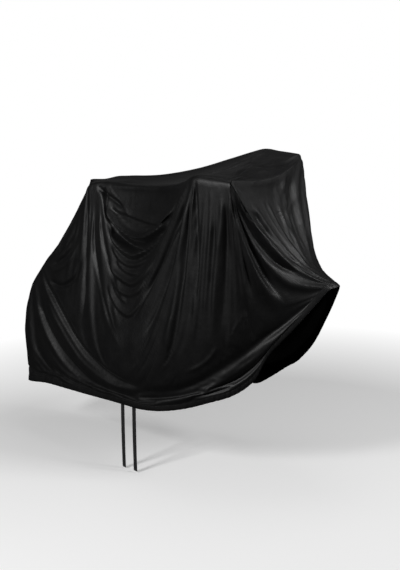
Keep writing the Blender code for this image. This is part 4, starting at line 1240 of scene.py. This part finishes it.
def tie_path(near, x):
    """Centre line of a tie, from its sewn end inside the hem to its free end, and the ways of its faces."""
    half = TIE_WIDTH / 2
    hem = np.array([point_at(near[-1], x - half), point_at(near[-1], x + half)])
    above = np.array([point_at(near[-2], x - half), point_at(near[-2], x + half)])
    ahead = unit(hem[1] - hem[0])
    inward = unit(np.array([-ahead[1], ahead[0], 0.0]))
    middle = hem.mean(axis=0)
    rise = unit(above.mean(axis=0) - middle)
    seat = inward * TIE_SEAT
    rows = [middle + rise * TIE_SEWN * share + seat for share in SEWN_ROWS]
    for i in range(1, TIE_STEPS + 1):
        share = i / TIE_STEPS
        rows.append(middle + seat + (TIE_SWAY * share**2, 0.0, -TIE_DROP * share))
    return np.array(rows) - (0.0, 0.0, REST_HEIGHT), ahead, inward


def tape_section():
    """Points round the tape, which is flat with rounded selvedges."""
    section = []
    for i in range(TAPE_CORNERS):
        turn = 2 * math.pi * i / TAPE_CORNERS
        wide = math.copysign(abs(math.cos(turn)) ** TAPE_WIDE_POWER, math.cos(turn))
        thick = math.copysign(abs(math.sin(turn)) ** TAPE_THICK_POWER, math.sin(turn))
        section.append((wide * TIE_WIDTH / 2, thick * TIE_THICK / 2))
    return section


def tape_faces(rows):
    """Faces between the rows of the tape's points, and a cap at each end."""
    count = TAPE_CORNERS
    last = (rows - 1) * count
    faces = []
    for row in range(0, last, count):
        for i in range(count):
            after = (i + 1) % count
            faces.append((row + i, row + after, row + count + after, row + count + i))
    return [*faces, tuple(range(count))[::-1], tuple(range(last, last + count))]


def make_tie(name, path, ahead, inward):
    """A flat tape, slack in its hang, drawn thicker at its end, where it is turned back once."""
    section = tape_section()
    ahead = unit(np.array([ahead[0], ahead[1], 0.0]))
    fallen = distances(path)
    verts = []
    places = []
    for i, centre in enumerate(path):
        share = i / (len(path) - 1)
        twist = TAPE_TWIST * math.sin(TAPE_TWIST_RATE * share) * share
        wide_way = ahead * math.cos(twist) + inward * math.sin(twist)
        thick_way = inward * math.cos(twist) - ahead * math.sin(twist)
        thicker = 1.0 if i < len(path) - TAPE_END_ROWS else TAPE_END_THICKENING
        for wide, thick in section:
            verts.append(centre + wide_way * wide + thick_way * thick * thicker)
            places.append((wide, fallen[i]))
    mesh = new_mesh(name, verts, tape_faces(len(path)))
    lay_flat(mesh, np.array(places))
    return new_object(name, mesh)


# ---------------- camera, floor and light
def add_camera():
    turn = math.radians(CAMERA_AZIMUTH)
    lift = math.radians(CAMERA_ELEVATION)
    back = Vector((math.sin(turn) * math.cos(lift), -math.cos(turn) * math.cos(lift), math.sin(lift)))
    camera = bpy.data.cameras.new("camera")
    camera.sensor_fit = "AUTO"
    camera.sensor_width = CAMERA_SENSOR
    camera.lens = CAMERA_LENS
    camera.clip_end = CAMERA_FAR_END
    thing = new_object("camera", camera)
    aim(thing, Vector(CAMERA_TARGET) + back * CAMERA_DISTANCE, CAMERA_TARGET)
    bpy.context.scene.camera = thing


def add_lights():
    world = bpy.data.worlds.new("room")
    bpy.context.scene.world = world
    world.use_nodes = True
    sky = world.node_tree.nodes["Background"]
    sky.inputs["Color"].default_value = WHITE
    sky.inputs["Strength"].default_value = ROOM_LIGHT
    for light in LIGHTS:
        lamp = bpy.data.lights.new(light.name, "AREA")
        lamp.size = light.size
        lamp.energy = light.power
        aim(new_object(light.name, lamp), light.place, LIGHT_TARGET)


def pale_floor():
    """Pale floor near the object, turning into an even white farther out."""
    shade = Shade("pale_floor")
    out = shade.node("ShaderNodeVectorMath", {"operation": "LENGTH"}, {0: shade.place()}, output="Value")
    far = ((out - FLOOR_PALE_RADIUS) * FLOOR_FADE).clamped()
    shade.finish(
        Base_Color=(0.92, 0.92, 0.92, 1.0),
        Roughness=0.9,
        Emission_Color=WHITE,
        Emission_Strength=FLOOR_GLOW,
    )
    pale = Value(shade, shade.surface.outputs["BSDF"])
    return shade.show(shade.node("ShaderNodeMixShader", {}, {0: far, 1: pale, 2: shade.white_light()}))


def white_backdrop():
    shade = Shade("white_backdrop")
    return shade.show(shade.white_light())


def add_stage():
    """A wide floor inside a white ball. Neither of them lights the cover or shows in its sheen."""
    r = BACKDROP_RADIUS
    corners = [(-r, -r, 0.0), (r, -r, 0.0), (r, r, 0.0), (-r, r, 0.0)]
    floor = new_object("floor", new_mesh("floor", corners, [(0, 1, 2, 3)]))
    floor.location.z = FLOOR_HEIGHT
    paint(floor, pale_floor())
    ball = bmesh.new()
    bmesh.ops.create_uvsphere(ball, u_segments=48, v_segments=24, radius=r * BACKDROP_SHARE)
    mesh = bpy.data.meshes.new("backdrop")
    ball.to_mesh(mesh)
    ball.free()
    backdrop = new_object("backdrop", mesh)
    paint(backdrop, white_backdrop())
    for thing in (floor, backdrop):
        thing.visible_diffuse = False
        thing.visible_glossy = False
        thing.visible_transmission = False
    backdrop.visible_shadow = False


def add_ties():
    near = tent_side(NEAR_RIBS, FAR_RIBS, FINER, *NEAR_ROWS)
    tape = webbing()
    for name, x in TIE_SPOTS.items():
        path, ahead, inward = tie_path(near, x)
        tie = make_tie(name + "_tape", path, ahead, inward)
        paint(tie, tape)
        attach(tie, "root")
        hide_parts(name)


def add_cover():
    cloth, sheet = make_cover()
    paint(cloth, coated_cloth())
    stitching = hem_stitches(sheet, cloth)
    paint(stitching, thread())
    for piece in (cloth, stitching):
        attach(piece, "root")
    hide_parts("cover_body")


def main():
    add_camera()
    add_ties()
    add_cover()
    add_lights()
    add_stage()
    bpy.context.scene.view_settings.view_transform = "Standard"


main()
